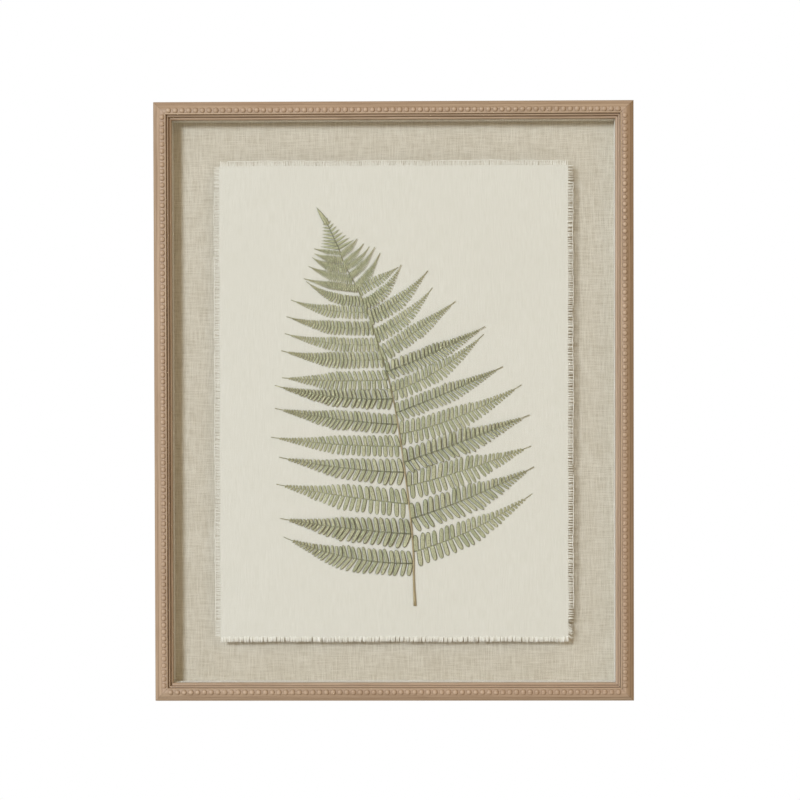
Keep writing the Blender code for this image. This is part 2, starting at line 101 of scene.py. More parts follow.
def setPointValue(piece, name, values):
    kind = "FLOAT_VECTOR" if hasattr(values[0], "__len__") else "FLOAT"
    layer = piece.data.attributes.new(name, kind, "POINT")
    if kind == "FLOAT":
        layer.data.foreach_set("value", values)
    else:
        layer.data.foreach_set("vector", [c for v in values for c in v])


def outward(piece):  # turns a closed mesh's faces outwards
    bm = bmesh.new()
    bm.from_mesh(piece.data)
    bmesh.ops.recalc_face_normals(bm, faces=bm.faces)
    bm.to_mesh(piece.data)
    bm.free()
    return piece


def joined(name, pieces):
    with bpy.context.temp_override(active_object=pieces[0], selected_editable_objects=pieces):
        bpy.ops.object.join()
    pieces[0].name = name
    pieces[0].data.name = name
    return pieces[0]


def finishPiece(piece, slot, material, *nodes):  # stands it up, paints it, hangs it from the root body and hides the CAD nodes it stands for
    piece.data.transform(standing)
    piece.data.materials.clear()
    piece.data.materials.append(material)
    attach(piece, "root")
    if nodes:
        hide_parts(*nodes)
    return piece


def ringFaces(rings, around):  # the faces of a closed tube of rings, each with as many points around
    faces = []
    for a in range(0, (rings - 1) * around, around):
        for k in range(around):
            m, b = (k + 1) % around, a + around
            faces.append((a + k, a + m, b + m, b + k))
    last = (rings - 1) * around
    return faces + [tuple(range(around))[::-1], tuple(range(last, last + around))]


def tubeRings(path, radii, around, flatten=1.0):  # points of a tapered tube in the sheet's plane
    vertices = []
    for i, point in enumerate(path):
        ahead = path[min(i + 1, len(path) - 1)] - path[max(i - 1, 0)]
        across = Vector((-ahead.y, ahead.x, 0.0)).normalized()
        for k in range(around):
            turn = 2 * math.pi * k / around
            lift = Vector((0.0, 0.0, math.sin(turn) * radii[i] * flatten))
            vertices.append(point + across * math.cos(turn) * radii[i] + lift)
    return vertices


def tube(name, path, radii, around, flatten=1.0):
    vertices = tubeRings(path, radii, around, flatten)
    return outward(meshObject(name, vertices, ringFaces(len(path), around)))


def slab(name, cells, spot):  # a thin closed sheet; spot gives a corner in mm from its shares and layer
    columns, rows = cells
    vertices, faces = [], []
    for layer in (0, 1):
        for j in range(rows + 1):
            for i in range(columns + 1):
                vertices.append(Vector(spot(i / columns, j / rows, layer)) * mm)

    def at(i, j, layer):
        return (layer * (rows + 1) + j) * (columns + 1) + i

    for j in range(rows):
        for i in range(columns):
            corners = ((i, j), (i + 1, j), (i + 1, j + 1), (i, j + 1))
            faces.append(tuple(at(*c, 1) for c in corners))
            faces.append(tuple(at(*c, 0) for c in corners[::-1]))
    edge = [(i, 0) for i in range(columns)] + [(columns, j) for j in range(rows)]
    edge += [(i, rows) for i in range(columns, 0, -1)] + [(0, j) for j in range(rows, 0, -1)]
    for a, b in zip(edge, edge[1:] + edge[:1]):
        faces.append((at(*a, 0), at(*b, 0), at(*b, 1), at(*a, 1)))
    return outward(meshObject(name, vertices, faces, sharpAngle=40))


# Small helpers for node trees


def place(tree, kind, sockets=None, **settings):
    made = tree.nodes.new(kind)
    for key, value in settings.items():
        setattr(made, key, value)
    for key, value in (sockets or {}).items():
        if isinstance(value, bpy.types.NodeSocket):
            tree.links.new(value, made.inputs[key])
        else:
            made.inputs[key].default_value = value
    return made


def sumOf(tree, operation, a, b=0.0, c=0.0):
    return place(tree, "ShaderNodeMath", {0: a, 1: b, 2: c}, operation=operation).outputs[0]


def combined(tree, x, y, z):
    return place(tree, "ShaderNodeCombineXYZ", {0: x, 1: y, 2: z}).outputs[0]


def vectorSum(tree, operation, a, b):
    return place(tree, "ShaderNodeVectorMath", {0: a, 1: b}, operation=operation).outputs[0]


def mixed(tree, factor, a, b, blend="MIX"):  # colours
    sockets = {0: factor, 6: a, 7: b}
    return place(tree, "ShaderNodeMix", sockets, data_type="RGBA", blend_type=blend).outputs[2]


def ranged(tree, value, low, high, newLow=0.0, newHigh=1.0):
    sockets = {"Value": value, "From Min": low, "From Max": high, "To Min": newLow, "To Max": newHigh}
    return place(tree, "ShaderNodeMapRange", sockets).outputs[0]


def noiseOf(tree, vector, scale, detail=2.0, roughness=0.5):
    sockets = {"Vector": vector, "Scale": scale, "Detail": detail, "Roughness": roughness}
    return place(tree, "ShaderNodeTexNoise", sockets).outputs[0]


def stretched(tree, vector, scale, turn=(0.0, 0.0, 0.0)):
    sockets = {"Vector": vector, "Scale": scale, "Rotation": turn}
    return place(tree, "ShaderNodeMapping", sockets).outputs[0]


def objectSpot(tree):
    return place(tree, "ShaderNodeTexCoord").outputs["Object"]


def pointValue(tree, name):
    return place(tree, "ShaderNodeAttribute", attribute_name=name).outputs["Fac"]


def newGroup(name, kind, inputs, outputs):
    tree = bpy.data.node_groups.new(name, kind)
    for label, socket, value in inputs:
        made = tree.interface.new_socket(name=label, in_out="INPUT", socket_type="NodeSocket" + socket)
        if value is not None:
            made.default_value = value
    for label, socket in outputs:
        tree.interface.new_socket(name=label, in_out="OUTPUT", socket_type="NodeSocket" + socket)
    return tree, tree.nodes.new("NodeGroupInput").outputs, tree.nodes.new("NodeGroupOutput").inputs


def newMaterial(name, roughness=0.8, **settings):
    made = bpy.data.materials.new(name)
    made.use_nodes = True
    shader = made.node_tree.nodes["Principled BSDF"]
    shader.inputs["Roughness"].default_value = roughness
    for key, value in settings.items():
        shader.inputs[key.replace("_", " ")].default_value = value
    return made, made.node_tree, shader


def srgb(red, green, blue):  # a colour as a paint card gives it, 0 to 255
    def linear(c):
        return c / 12.92 if c <= 0.04045 else ((c + 0.055) / 1.055) ** 2.4

    return (linear(red / 255), linear(green / 255), linear(blue / 255), 1.0)


def coloured(tree, shader, colour):
    tree.links.new(colour, shader.inputs["Base Color"])


def bumped(tree, shader, height, distance, strength=0.5):
    sockets = {"Height": height, "Distance": distance, "Strength": strength}
    tree.links.new(place(tree, "ShaderNodeBump", sockets).outputs[0], shader.inputs["Normal"])


def endTree(tree, geometry, finish, wanted):  # instances made real, in their material
    real = place(tree, "GeometryNodeRealizeInstances", {"Geometry": geometry}).outputs[0]
    painted = place(tree, "GeometryNodeSetMaterial", {"Geometry": real, "Material": finish})
    tree.links.new(painted.outputs[0], wanted["Geometry"])
    return tree


def grownMesh(name, tree, values, base=None):  # what a Geometry Nodes tree makes, as a plain mesh object
    holder = bpy.data.objects.new(name + "Seed", base or bpy.data.meshes.new(name + "Seed"))
    bpy.context.scene.collection.objects.link(holder)
    modifier = holder.modifiers.new("grow", "NODES")
    modifier.node_group = tree
    sockets = {s.name: s.identifier for s in tree.interface.items_tree if s.in_out == "INPUT"}
    for key, value in values.items():
        modifier[sockets[key]] = value
    graph = bpy.context.evaluated_depsgraph_get()
    mesh = bpy.data.meshes.new_from_object(holder.evaluated_get(graph), depsgraph=graph)
    mesh.name = name
    mesh.shade_smooth()
    bpy.data.objects.remove(holder)
    made = bpy.data.objects.new(name, mesh)
    bpy.context.scene.collection.objects.link(made)
    return made


# Camera, light and floor

studio = {
    "eye": (0.0376, -0.0247, 2.1),  # lying: right, up and in front of the paper
    "yaw": 0.925,
    "pitch": -0.967,
    "roll": -0.132,
    "lens": 110.2,
    "shift": (0.0017, 0.09),
    "keyPlace": (-2.80, 1.68, 6.0),
    "keySize": 1.6,
    "keyPower": 356.0,
    "keyColour": (0.93, 1.0, 1.14),
    "fillPlace": (1.3, 0.7, 1.6),
    "fillSize": 1.2,
    "fillPower": 5.0,
    "fillColour": (1.0, 0.82, 0.60),
    "roomLight": 0.38,
    "roomColour": (1.0, 0.75, 0.49, 1.0),
    "floorBelow": 0.9,  # under the frame's lower edge: it hangs on a wall
    "floorSize": 5.0,
    "floorTones": (srgb(236, 235, 232), srgb(242, 241, 238)),
}


def addCamera(scene):
    camera = bpy.data.objects.new("camera", bpy.data.cameras.new("camera"))
    scene.collection.objects.link(camera)
    camera.data.lens = studio["lens"]
    camera.data.shift_x, camera.data.shift_y = studio["shift"]
    turn = Euler((math.radians(90 + studio["pitch"]), 0.0, math.radians(studio["yaw"]))).to_matrix()
    turn = turn @ Matrix.Rotation(math.radians(studio["roll"]), 3, "Z")
    camera.matrix_world = Matrix.Translation(standing @ Vector(studio["eye"])) @ turn.to_4x4()
    scene.camera = camera


def addLights(scene):
    middle = standing @ Vector((0.0, 0.0, 0.0))
    for name in ("key", "fill"):
        lamp = bpy.data.lights.new(name, "AREA")
        lamp.shape = "DISK"
        lamp.size = studio[name + "Size"]
        lamp.energy = studio[name + "Power"]
        lamp.color = studio[name + "Colour"]
        light = bpy.data.objects.new(name, lamp)
        light.location = standing @ Vector(studio[name + "Place"])
        light.rotation_euler = (middle - light.location).to_track_quat("-Z", "Y").to_euler()
        scene.collection.objects.link(light)

    scene.world = bpy.data.worlds.new("paleRoom")
    scene.world.use_nodes = True
    tree = scene.world.node_tree
    backdrop = tree.nodes["Background"]
    seen = place(tree, "ShaderNodeLightPath").outputs["Is Camera Ray"]  # white behind, warm light around
    tint = mixed(tree, seen, studio["roomColour"], (1.0, 1.0, 1.0, 1.0))
    tree.links.new(tint, backdrop.inputs["Color"])
    strength = ranged(tree, seen, 0.0, 1.0, studio["roomLight"], 1.0)
    tree.links.new(strength, backdrop.inputs["Strength"])
    scene.view_settings.view_transform = "Standard"


def addFloor():
    half = studio["floorSize"] / 2
    low = cadBox[0].z - studio["floorBelow"]
    corners = [(-half, -half, low), (half, -half, low), (half, half, low), (-half, half, low)]
    floor = meshObject("floor", corners, [(0, 1, 2, 3)], smooth=False)
    made, tree, shader = newMaterial("paleFloor", 0.9)
    coloured(tree, shader, mixed(tree, noiseOf(tree, objectSpot(tree), 30.0), *studio["floorTones"]))
    floor.data.materials.append(made)


addCamera(bpy.context.scene)
addLights(bpy.context.scene)
addFloor()
print("studio: camera, two lamps and a pale floor")


# Limed oak

wood = {
    "lightTone": srgb(190, 169, 142),
    "deepTone": srgb(160, 138, 112),
    # Over them, one after the other: where, share at its strongest, tone
    "layers": [
        ("Tone", 0.35, srgb(188, 158, 130)),
        ("Pore", 0.45, srgb(140, 112, 84)),
        # The last two layers are painted light: a painted highlight on the moulding's ridges and the beads'
        # tops, then painted shade in its grooves and round the beads' feet.
        ("paintedHighlight", 0.4, srgb(214, 194, 163)),
        ("paintedShade", 0.62, srgb(112, 82, 54)),
    ],
    "bump": 0.12 * mm,
}


def buildGrainGroup():
    inputs = [("Vector", "Vector", None), ("Coarseness", "Float", 1.0)]
    outputs = [("Streak", "Float"), ("Pore", "Float"), ("Tone", "Float")]
    tree, given, wanted = newGroup("lengthGrain", "ShaderNodeTree", inputs, outputs)
    scaled = {0: given["Vector"], "Scale": given["Coarseness"]}
    vector = place(tree, "ShaderNodeVectorMath", scaled, operation="SCALE").outputs[0]
    bend = noiseOf(tree, stretched(tree, vector, (12.0, 12.0, 5.0)), 1.0)
    bent = vectorSum(tree, "ADD", vector, bend)
    wavy = place(tree, "ShaderNodeMix", {0: 0.012, 4: vector, 5: bent}, data_type="VECTOR").outputs[1]
    streak = noiseOf(tree, stretched(tree, wavy, (620.0, 620.0, 11.0)), 1.0, 3.0, 0.6)
    pore = noiseOf(tree, stretched(tree, vector, (1500.0, 1500.0, 60.0)), 1.0, 1.0)
    tone = noiseOf(tree, stretched(tree, vector, (45.0, 45.0, 4.0)), 1.0)
    tree.links.new(ranged(tree, streak, 0.36, 0.66), wanted["Streak"])
    tree.links.new(ranged(tree, pore, 0.60, 0.72), wanted["Pore"])
    tree.links.new(ranged(tree, tone, 0.3, 0.7), wanted["Tone"])
    return tree


def limedOak(name, turn, grain):
    made, tree, shader = newMaterial(name, 0.55, Coat_Weight=0.08, Coat_Roughness=0.45)
    along = stretched(tree, objectSpot(tree), (1.0, 1.0, 1.0), turn)
    found = place(tree, "ShaderNodeGroup", {"Vector": along, "Coarseness": 1.0}, node_tree=grain).outputs
    masks = {"Tone": found["Tone"], "Pore": found["Pore"]}
    # Masks for the painted highlight and the painted shade, read from values on the points.
    masks.update({name: pointValue(tree, name) for name in ("paintedHighlight", "paintedShade")})
    colour = mixed(tree, found["Streak"], wood["deepTone"], wood["lightTone"])
    for mask, share, tone in wood["layers"]:
        colour = mixed(tree, sumOf(tree, "MULTIPLY", masks[mask], share), colour, tone)
    coloured(tree, shader, colour)
    rough = sumOf(tree, "MULTIPLY_ADD", found["Streak"], -0.1, 0.62)
    tree.links.new(rough, shader.inputs["Roughness"])
    bumped(tree, shader, sumOf(tree, "SUBTRACT", found["Streak"], found["Pore"]), wood["bump"])
    return made


grainGroup = buildGrainGroup()
oakUpright = limedOak("limedOakUpright", (0.0, 0.0, 0.0), grainGroup)
oakAcross = limedOak("limedOakAcross", (0.0, math.radians(90), 0.0), grainGroup)


# Rails: one mitred length of moulding for each side, with a row of beads in its channel

rail = {
    "width": 406.4,
    "height": 508.0,
    "mitreGap": 0.10,
    "beadMiddle": 8.2,  # from the outer edge
    "beadRadius": 2.3,
    "beadHeight": 0.62,  # its half height over its radius
    "beadCentre": 33.2,  # depth
    "beadEndRoom": 5.6,
    "beadsAcross": 67,
    "beadsUpright": 85,
    "unevenness": 0.035,
    "sharpAngle": 52,
    # The moulding's section, in mm: in from the outer edge, depth, how much painted shade it carries, how
    # much painted highlight it carries
    "section": [
        (0.0, 0.7, 0.2, 0), (0.0, 12.0, 0.0, 0), (0.0, 24.0, 0.1, 0), (0.1, 24.5, 0.1, 0.2),
        (0.35, 24.9, 0.15, 0.3), (0.7, 25.5, 0.1, 0.1), (1.4, 26.7, 0.0, 0), (2.2, 27.9, 0.05, 0),
        (2.75, 28.6, 0.3, 0), (2.95, 28.6, 0.85, 0), (3.15, 28.75, 0.85, 0), (3.25, 29.35, 0.3, 0.2),
        (3.7, 30.0, 0.05, 0.2), (4.4, 30.85, 0.0, 0.1), (5.1, 31.6, 0.0, 0.1), (5.7, 32.2, 0.0, 0.1),
        (5.95, 32.5, 0.05, 0.1), (6.1, 32.6, 0.4, 0), (6.9, 33.0, 0.3, 0), (8.2, 33.1, 0.3, 0),
        (9.6, 33.0, 0.4, 0), (10.35, 32.9, 0.5, 0), (10.5, 33.2, 0.1, 0.3), (10.75, 33.5, 0.0, 0.8),
        (11.15, 33.5, 0.0, 0.8), (11.4, 33.1, 0.05, 0.3), (11.6, 32.2, 0.2, 0), (11.75, 30.9, 0.4, 0),
        (11.85, 30.0, 0.55, 0), (12.2, 29.9, 0.55, 0), (12.3, 30.5, 0.2, 0), (12.55, 30.75, 0.0, 0.3),
        (12.9, 30.7, 0.0, 0.5), (13.15, 30.1, 0.05, 0.4), (13.35, 28.4, 0.2, 0), (13.45, 26.7, 0.45, 0),
        (13.8, 26.5, 0.5, 0), (14.0, 27.0, 0.2, 0), (14.5, 27.0, 0.05, 0.1), (14.9, 26.6, 0.0, 0.3),
        (15.25, 25.9, 0.0, 0.4), (15.5, 25.2, 0.05, 0.3), (15.6, 24.6, 0.2, 0), (15.6, 23.2, 0.5, 0),
        (9.5, 23.2, 0.3, 0), (9.5, 0.7, 0.2, 0),
    ],
}


def railSpot(side, along, inward, depth):  # mm, to a point lying on its back
    size = rail["height"] if side in ("top", "bottom") else rail["width"]
    return Vector((*onSide(side, along, size / 2 - inward), depth)) * mm


def buildBeadTree():
    inputs = [
        ("Count", "Int", 10),
        ("Start", "Vector", None),
        ("Step", "Vector", None),
        ("Radius", "Float", 0.002),
        ("Height", "Float", 0.8),
        ("Unevenness", "Float", 0.03),
        ("Seed", "Int", 1),
        ("Finish", "Material", None),
    ]
    tree, given, wanted = newGroup("beadRow", "GeometryNodeTree", inputs, [("Geometry", "Geometry")])
    row = {"Count": given["Count"], "Start Location": given["Start"], "Offset": given["Step"]}
    line = place(tree, "GeometryNodeMeshLine", row, mode="OFFSET").outputs[0]
    sphere = {"Segments": 10, "Rings": 6, "Radius": given["Radius"]}
    ball = place(tree, "GeometryNodeMeshUVSphere", sphere).outputs["Mesh"]
    fewer = sumOf(tree, "SUBTRACT", 1.0, given["Unevenness"])
    more = sumOf(tree, "ADD", 1.0, given["Unevenness"])
    spread = {2: fewer, 3: more, "Seed": given["Seed"]}
    size = place(tree, "FunctionNodeRandomValue", spread, data_type="FLOAT").outputs[1]
    flat = {0: combined(tree, 1.0, 1.0, given["Height"]), "Scale": size}
    scale = place(tree, "ShaderNodeVectorMath", flat, operation="SCALE").outputs[0]
    beads = place(tree, "GeometryNodeInstanceOnPoints", {"Points": line, "Instance": ball, "Scale": scale})
    return endTree(tree, beads.outputs[0], given["Finish"], wanted)


def addRail(side, finish, beadTree):
    level = side in ("top", "bottom")
    length = rail["width"] if level else rail["height"]
    count = rail["beadsAcross"] if level else rail["beadsUpright"]
    section = rail["section"]
    setback = rail["mitreGap"] / math.sqrt(2)
    vertices = [
        railSpot(side, end * (length / 2 - inward - setback), inward, depth)
        for end in (-1, 1)
        for inward, depth, paintedShade, paintedHighlight in section
    ]
    points = len(section)
    faces = [(i, (i + 1) % points, points + (i + 1) % points, points + i) for i in range(points)]
    faces += [tuple(range(points)), tuple(range(points, 2 * points))[::-1]]  # wound to keep the ends sharp
    body = outward(meshObject("moulding", vertices, faces, sharpAngle=rail["sharpAngle"]))
    # Painted shade in the grooves and a painted highlight on the ridges, from the section's last two columns.
    setPointValue(body, "paintedShade", [paintedShade for inward, depth, paintedShade, paintedHighlight in section] * 2)
    setPointValue(body, "paintedHighlight", [paintedHighlight for inward, depth, paintedShade, paintedHighlight in section] * 2)

    half = length / 2 - rail["beadMiddle"] - rail["beadEndRoom"]
    start, end = (railSpot(side, along, rail["beadMiddle"], rail["beadCentre"]) for along in (-half, half))
    values = {
        "Count": count,
        "Start": start,
        "Step": (end - start) / (count - 1),
        "Radius": rail["beadRadius"] * mm,
        "Height": rail["beadHeight"],
        "Unevenness": rail["unevenness"],
        "Seed": len(side),  # another for each side
        "Finish": finish,
    }
    beads = grownMesh("beads", beadTree, values)
    # Each bead gets painted shade towards its foot and a painted highlight on its top.
    top = rail["beadRadius"] * rail["beadHeight"]
    lifts = [(v.co.z / mm - rail["beadCentre"]) / top for v in beads.data.vertices]
    setPointValue(beads, "paintedShade", [within(0.12, 0.55 - 0.8 * lift, 0.6) for lift in lifts])
    setPointValue(beads, "paintedHighlight", [within(0.0, lift - 0.8, 0.15) for lift in lifts])
    finishPiece(joined("carvedRail" + side.capitalize(), [body, beads]), "oak", finish, "rail_" + side)


beadTree = buildBeadTree()
for side in sides:
    addRail(side, oakUpright if side in ("left", "right") else oakAcross, beadTree)
print("four carved rails with their beads")


# Glass and linen

backing = {
    "threads": 1900.0,  # in a metre
    "slub": 0.014,  # how long a thick stretch of yarn is
    "pale": srgb(215, 210, 193),
    "deep": srgb(186, 178, 157),
    "yarn": srgb(230, 226, 211),
    "levelShare": 0.55,
    "cloudShare": 0.22,
    "shade": (0.86, 1.05),
    "roughness": 0.92,
    "sheen": 0.15,
    "relief": 0.10 * mm,
    "slubRelief": 0.9,
}
cloth = {
    "backing": backing,
    "wall": {**backing, "pale": srgb(228, 222, 204), "deep": srgb(198, 190, 168), "sheen": 0.5},
    "sheet": {
        "threads": 2600.0,
        "slub": 0.012,
        "pale": srgb(225, 225, 214),
        "deep": srgb(215, 215, 202),
        "yarn": srgb(232, 233, 223),
        "levelShare": 0.25,
        "cloudShare": 0.25,
        "shade": (0.95, 1.02),
        "roughness": 0.95,
        "sheen": 0.12,
        "relief": 0.05 * mm,
        "slubRelief": 0.0,
    },
}


def buildWeaveGroup():  # a plain weave in the plane of x and z, with thick and thin yarns
    inputs = [("Vector", "Vector", None), ("Threads", "Float", 2000.0), ("Slub Length", "Float", 0.02)]
    outputs = [(label, "Float") for label in ("Weave", "Upright Slub", "Level Slub", "Cloud")]
    tree, given, wanted = newGroup("wovenCloth", "ShaderNodeTree", inputs, outputs)
    vector = given["Vector"]
    parts = place(tree, "ShaderNodeSeparateXYZ", {0: vector}).outputs
    drift = noiseOf(tree, vector, 140.0)
    waves = []
    for axis in ("X", "Z"):
        count = sumOf(tree, "MULTIPLY", parts[axis], given["Threads"])
        wandering = sumOf(tree, "MULTIPLY_ADD", drift, 3.0, count)
        waves.append(sumOf(tree, "SINE", sumOf(tree, "MULTIPLY", wandering, math.pi)))
    crossing = sumOf(tree, "ABSOLUTE", sumOf(tree, "MULTIPLY", *waves))
    tree.links.new(sumOf(tree, "POWER", crossing, 0.6), wanted["Weave"])
    short = sumOf(tree, "DIVIDE", 1.0, given["Slub Length"])
    fine = sumOf(tree, "MULTIPLY", given["Threads"], 0.6)
    for label, counts in (("Upright Slub", (fine, fine, short)), ("Level Slub", (short, fine, fine))):
        moved = vectorSum(tree, "MULTIPLY", vector, combined(tree, *counts))
        slub = noiseOf(tree, moved, 1.0, 2.0, 0.55)
        tree.links.new(ranged(tree, slub, 0.34, 0.68), wanted[label])
    tree.links.new(ranged(tree, noiseOf(tree, vector, 26.0, 3.0), 0.3, 0.7), wanted["Cloud"])
    return tree


def linen(name, kind, weave, turn=(0.0, 0.0, 0.0)):
    own = cloth[kind]
    made, tree, shader = newMaterial(name, own["roughness"], Sheen_Weight=own["sheen"], Sheen_Roughness=0.6)
    spot = stretched(tree, objectSpot(tree), (1.0, 1.0, 1.0), turn)
    sockets = {"Vector": spot, "Threads": own["threads"], "Slub Length": own["slub"]}
    found = place(tree, "ShaderNodeGroup", sockets, node_tree=weave).outputs
    colour = mixed(tree, found["Upright Slub"], own["deep"], own["pale"])
    colour = mixed(tree, sumOf(tree, "MULTIPLY", found["Level Slub"], own["levelShare"]), colour, own["yarn"])
    colour = mixed(tree, sumOf(tree, "MULTIPLY", found["Cloud"], own["cloudShare"]), colour, own["deep"])
    shade = ranged(tree, found["Weave"], 0.0, 1.0, *own["shade"])
    coloured(tree, shader, mixed(tree, 1.0, colour, combined(tree, shade, shade, shade), "MULTIPLY"))
    height = sumOf(tree, "MULTIPLY_ADD", found["Upright Slub"], own["slubRelief"], found["Weave"])
    bumped(tree, shader, height, own["relief"], 0.6)
    return made


def clearGlass():
    made, tree, shader = newMaterial("clearGlass", 0.0, IOR=1.5, Transmission_Weight=1.0)
    shader.inputs["Base Color"].default_value = (0.985, 0.993, 0.988, 1.0)
    path = place(tree, "ShaderNodeLightPath").outputs
    lamp = sumOf(tree, "MAXIMUM", path["Is Shadow Ray"], path["Is Diffuse Ray"])  # lamps light what is behind
    through = place(tree, "ShaderNodeBsdfTransparent", {"Color": (0.95, 0.955, 0.95, 1.0)}).outputs[0]
    both = place(tree, "ShaderNodeMixShader", {0: lamp, 1: shader.outputs[0], 2: through})
    tree.links.new(both.outputs[0], tree.nodes["Material Output"].inputs["Surface"])
    return made


def paint(material, *nodes):  # CAD nodes that keep their shape
    for node in nodes:
        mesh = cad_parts[node].data
        mesh.materials.clear()
        mesh.materials.append(material)


weave = buildWeaveGroup()
sideTurn, endTurn = (0.0, 0.0, math.radians(90)), (math.radians(90), 0.0, 0.0)
sheetCloth = linen("sheetLinen", "sheet", weave)
paint(clearGlass(), "glass")
paint(linen("backingLinen", "backing", weave), "linen_board")
paint(linen("backingLinenSideWalls", "wall", weave, sideTurn), "spacer_left", "spacer_right")
paint(linen("backingLinenEndWalls", "wall", weave, endTurn), "spacer_top", "spacer_bottom")
print("glass, linen board and linen spacers")


# What repeats along a row: a small shape on points that say how it is turned and how large it is


def buildScatterTree():
    inputs = [
        ("Geometry", "Geometry", None),
        ("Shape", "Object", None),
        ("Lean", "Float", 0.05),
        ("Seed", "Int", 1),
        ("Finish", "Material", None),
    ]
    tree, given, wanted = newGroup("scatter", "GeometryNodeTree", inputs, [("Geometry", "Geometry")])

    def named(label):
        node = place(tree, "GeometryNodeInputNamedAttribute", {"Name": label}, data_type="FLOAT_VECTOR")
        return node.outputs["Attribute"]

    less, more = sumOf(tree, "MULTIPLY", given["Lean"], -1.0), given["Lean"]
    spread = {0: combined(tree, less, less, less), 1: combined(tree, more, more, more), "Seed": given["Seed"]}
    jitter = place(tree, "FunctionNodeRandomValue", spread, data_type="FLOAT_VECTOR").outputs[0]
    sockets = {
        "Points": given["Geometry"],
        "Instance": place(tree, "GeometryNodeObjectInfo", {"Object": given["Shape"]}).outputs["Geometry"],
        "Rotation": vectorSum(tree, "ADD", named("turn"), jitter),
        "Scale": named("size"),
    }
    copies = place(tree, "GeometryNodeInstanceOnPoints", sockets)
    return endTree(tree, copies.outputs[0], given["Finish"], wanted)


def scattered(name, shape, rows, finish, lean, seed):  # rows of (place, turn, size, other values)
    base = meshObject(name + "Points", [row[0] for row in rows], [], smooth=False)
    setPointValue(base, "turn", [row[1] for row in rows])
    setPointValue(base, "size", [row[2] for row in rows])
    for key in rows[0][3]:
        setPointValue(base, key, [row[3][key] for row in rows])
    values = {"Shape": shape, "Lean": lean, "Seed": seed, "Finish": finish}
    made = grownMesh(name, scatterTree, values, base.data)
    bpy.data.objects.remove(base)
    for key in ("turn", "size"):
        made.data.attributes.remove(made.data.attributes[key])
    return made


scatterTree = buildScatterTree()


# The frayed sheet: a closed cloth with a little wave, and the threads that stick out round it

sheet = {
    "flat": (306.0, 410.0),  # with its fringe
    "woven": (296.0, 400.5),
    "back": 17.5,
    "thickness": 0.55,
    "wave": 0.10,
    "cells": (74, 100),
    "edgeWobble": 0.30,
    "edgeSeed": {"left": 4.0, "right": 1.0, "top": 2.0, "bottom": 5.0},
}


def sheetWave(x, y):
    slow = math.sin(x * 0.047 + 1.1) * math.cos(y * 0.038 - 0.4)
    return sheet["wave"] * (slow + 0.5 * math.sin(x * 0.11 - y * 0.09))


def edgeDrift(along, side):  # how the woven edge wanders in and out
    seed = sheet["edgeSeed"][side]
    wander = 0.6 * math.sin(along * 0.071 + seed) + 0.4 * math.sin(along * 0.193 + 2.3 * seed)
    return sheet["edgeWobble"] * wander


def addSheet():
    wide, high = (size / 2 for size in sheet["woven"])

    def spot(u, v, layer):
        a, b = 2 * u - 1, 2 * v - 1
        x = a * (wide + edgeDrift(b * high, "right" if a > 0 else "left") * abs(a))
        y = b * (high + edgeDrift(a * wide, "top" if b > 0 else "bottom") * abs(b))
        return x, y, sheet["back"] + layer * sheet["thickness"] + sheetWave(x, y)

    return finishPiece(slab("linenSheet", sheet["cells"], spot), "sheet_linen", sheetCloth, "frayed_sheet")


fringe = {
    "rootInside": 0.9,  # how far in a thread begins
    "radius": {"left": 0.22, "right": 0.24, "top": 0.25, "bottom": 0.36},
    "flatness": 0.75,
    "every": {"left": 0.62, "right": 0.46, "top": 0.46, "bottom": 0.37},
    "length": (0.86, 1.0),
    "brokenShare": 0.05,
    "brokenLength": (0.6, 0.85),
    "tuft": {"left": (1.2, 3.2), "right": (0.9, 2.1), "top": (1.4, 4.2), "bottom": (1.6, 5.0)},
    "tuftGap": {"left": 0.3, "right": 0.42, "top": 0.7, "bottom": 0.22},
    "tuftLean": {"left": 0.06, "right": 0.06, "top": 0.09, "bottom": 0.06},
    "tuftDrift": {"left": 0.10, "right": 0.09, "top": 0.10, "bottom": 0.05},
    "looseCorner": 12.0,  # how far up the right edge the threads have come loose
    "looseLean": (0.1, 0.75),
    "looseGap": 1.4,
    # Where one yarn of the weave is left along the ends of the threads: its start and end, -1 to 1
    "yarns": {
        "left": [(-0.93, -0.45), (-0.40, 0.22), (0.27, 0.62), (0.70, 0.90)],
        "right": [(-0.88, -0.31), (-0.27, 0.36), (0.40, 0.93)],
        "top": [(-0.95, -0.33), (-0.29, 0.18), (0.21, 0.66), (0.70, 0.97)],
        "bottom": [],
    },
    "yarnRadius": 0.30,
    "yarnPlace": 0.86,  # share of the fringe's width
    "yarnStep": 2.5,
    "tones": (srgb(232, 232, 219), srgb(250, 250, 241)),
    "twistTone": srgb(205, 198, 180),
}


def threadShape():  # one thread along x, 1 long and 1 in radius, with a kink near its end
    vertices = []
    stations = ((0.0, 1.0), (0.22, 1.0), (0.45, 0.95), (0.68, 0.85), (0.86, 0.7), (1.0, 0.35))
    for t, thin in stations:
        for k in range(4):
            turn = math.pi / 4 + math.pi / 2 * k
            sway, droop = 0.175 * math.sin(t * 5.2), -t * t
            vertices.append((t, sway + math.cos(turn) * thin, droop + math.sin(turn) * thin))
    return outward(meshObject("threadShape", vertices, ringFaces(len(stations), 4)))


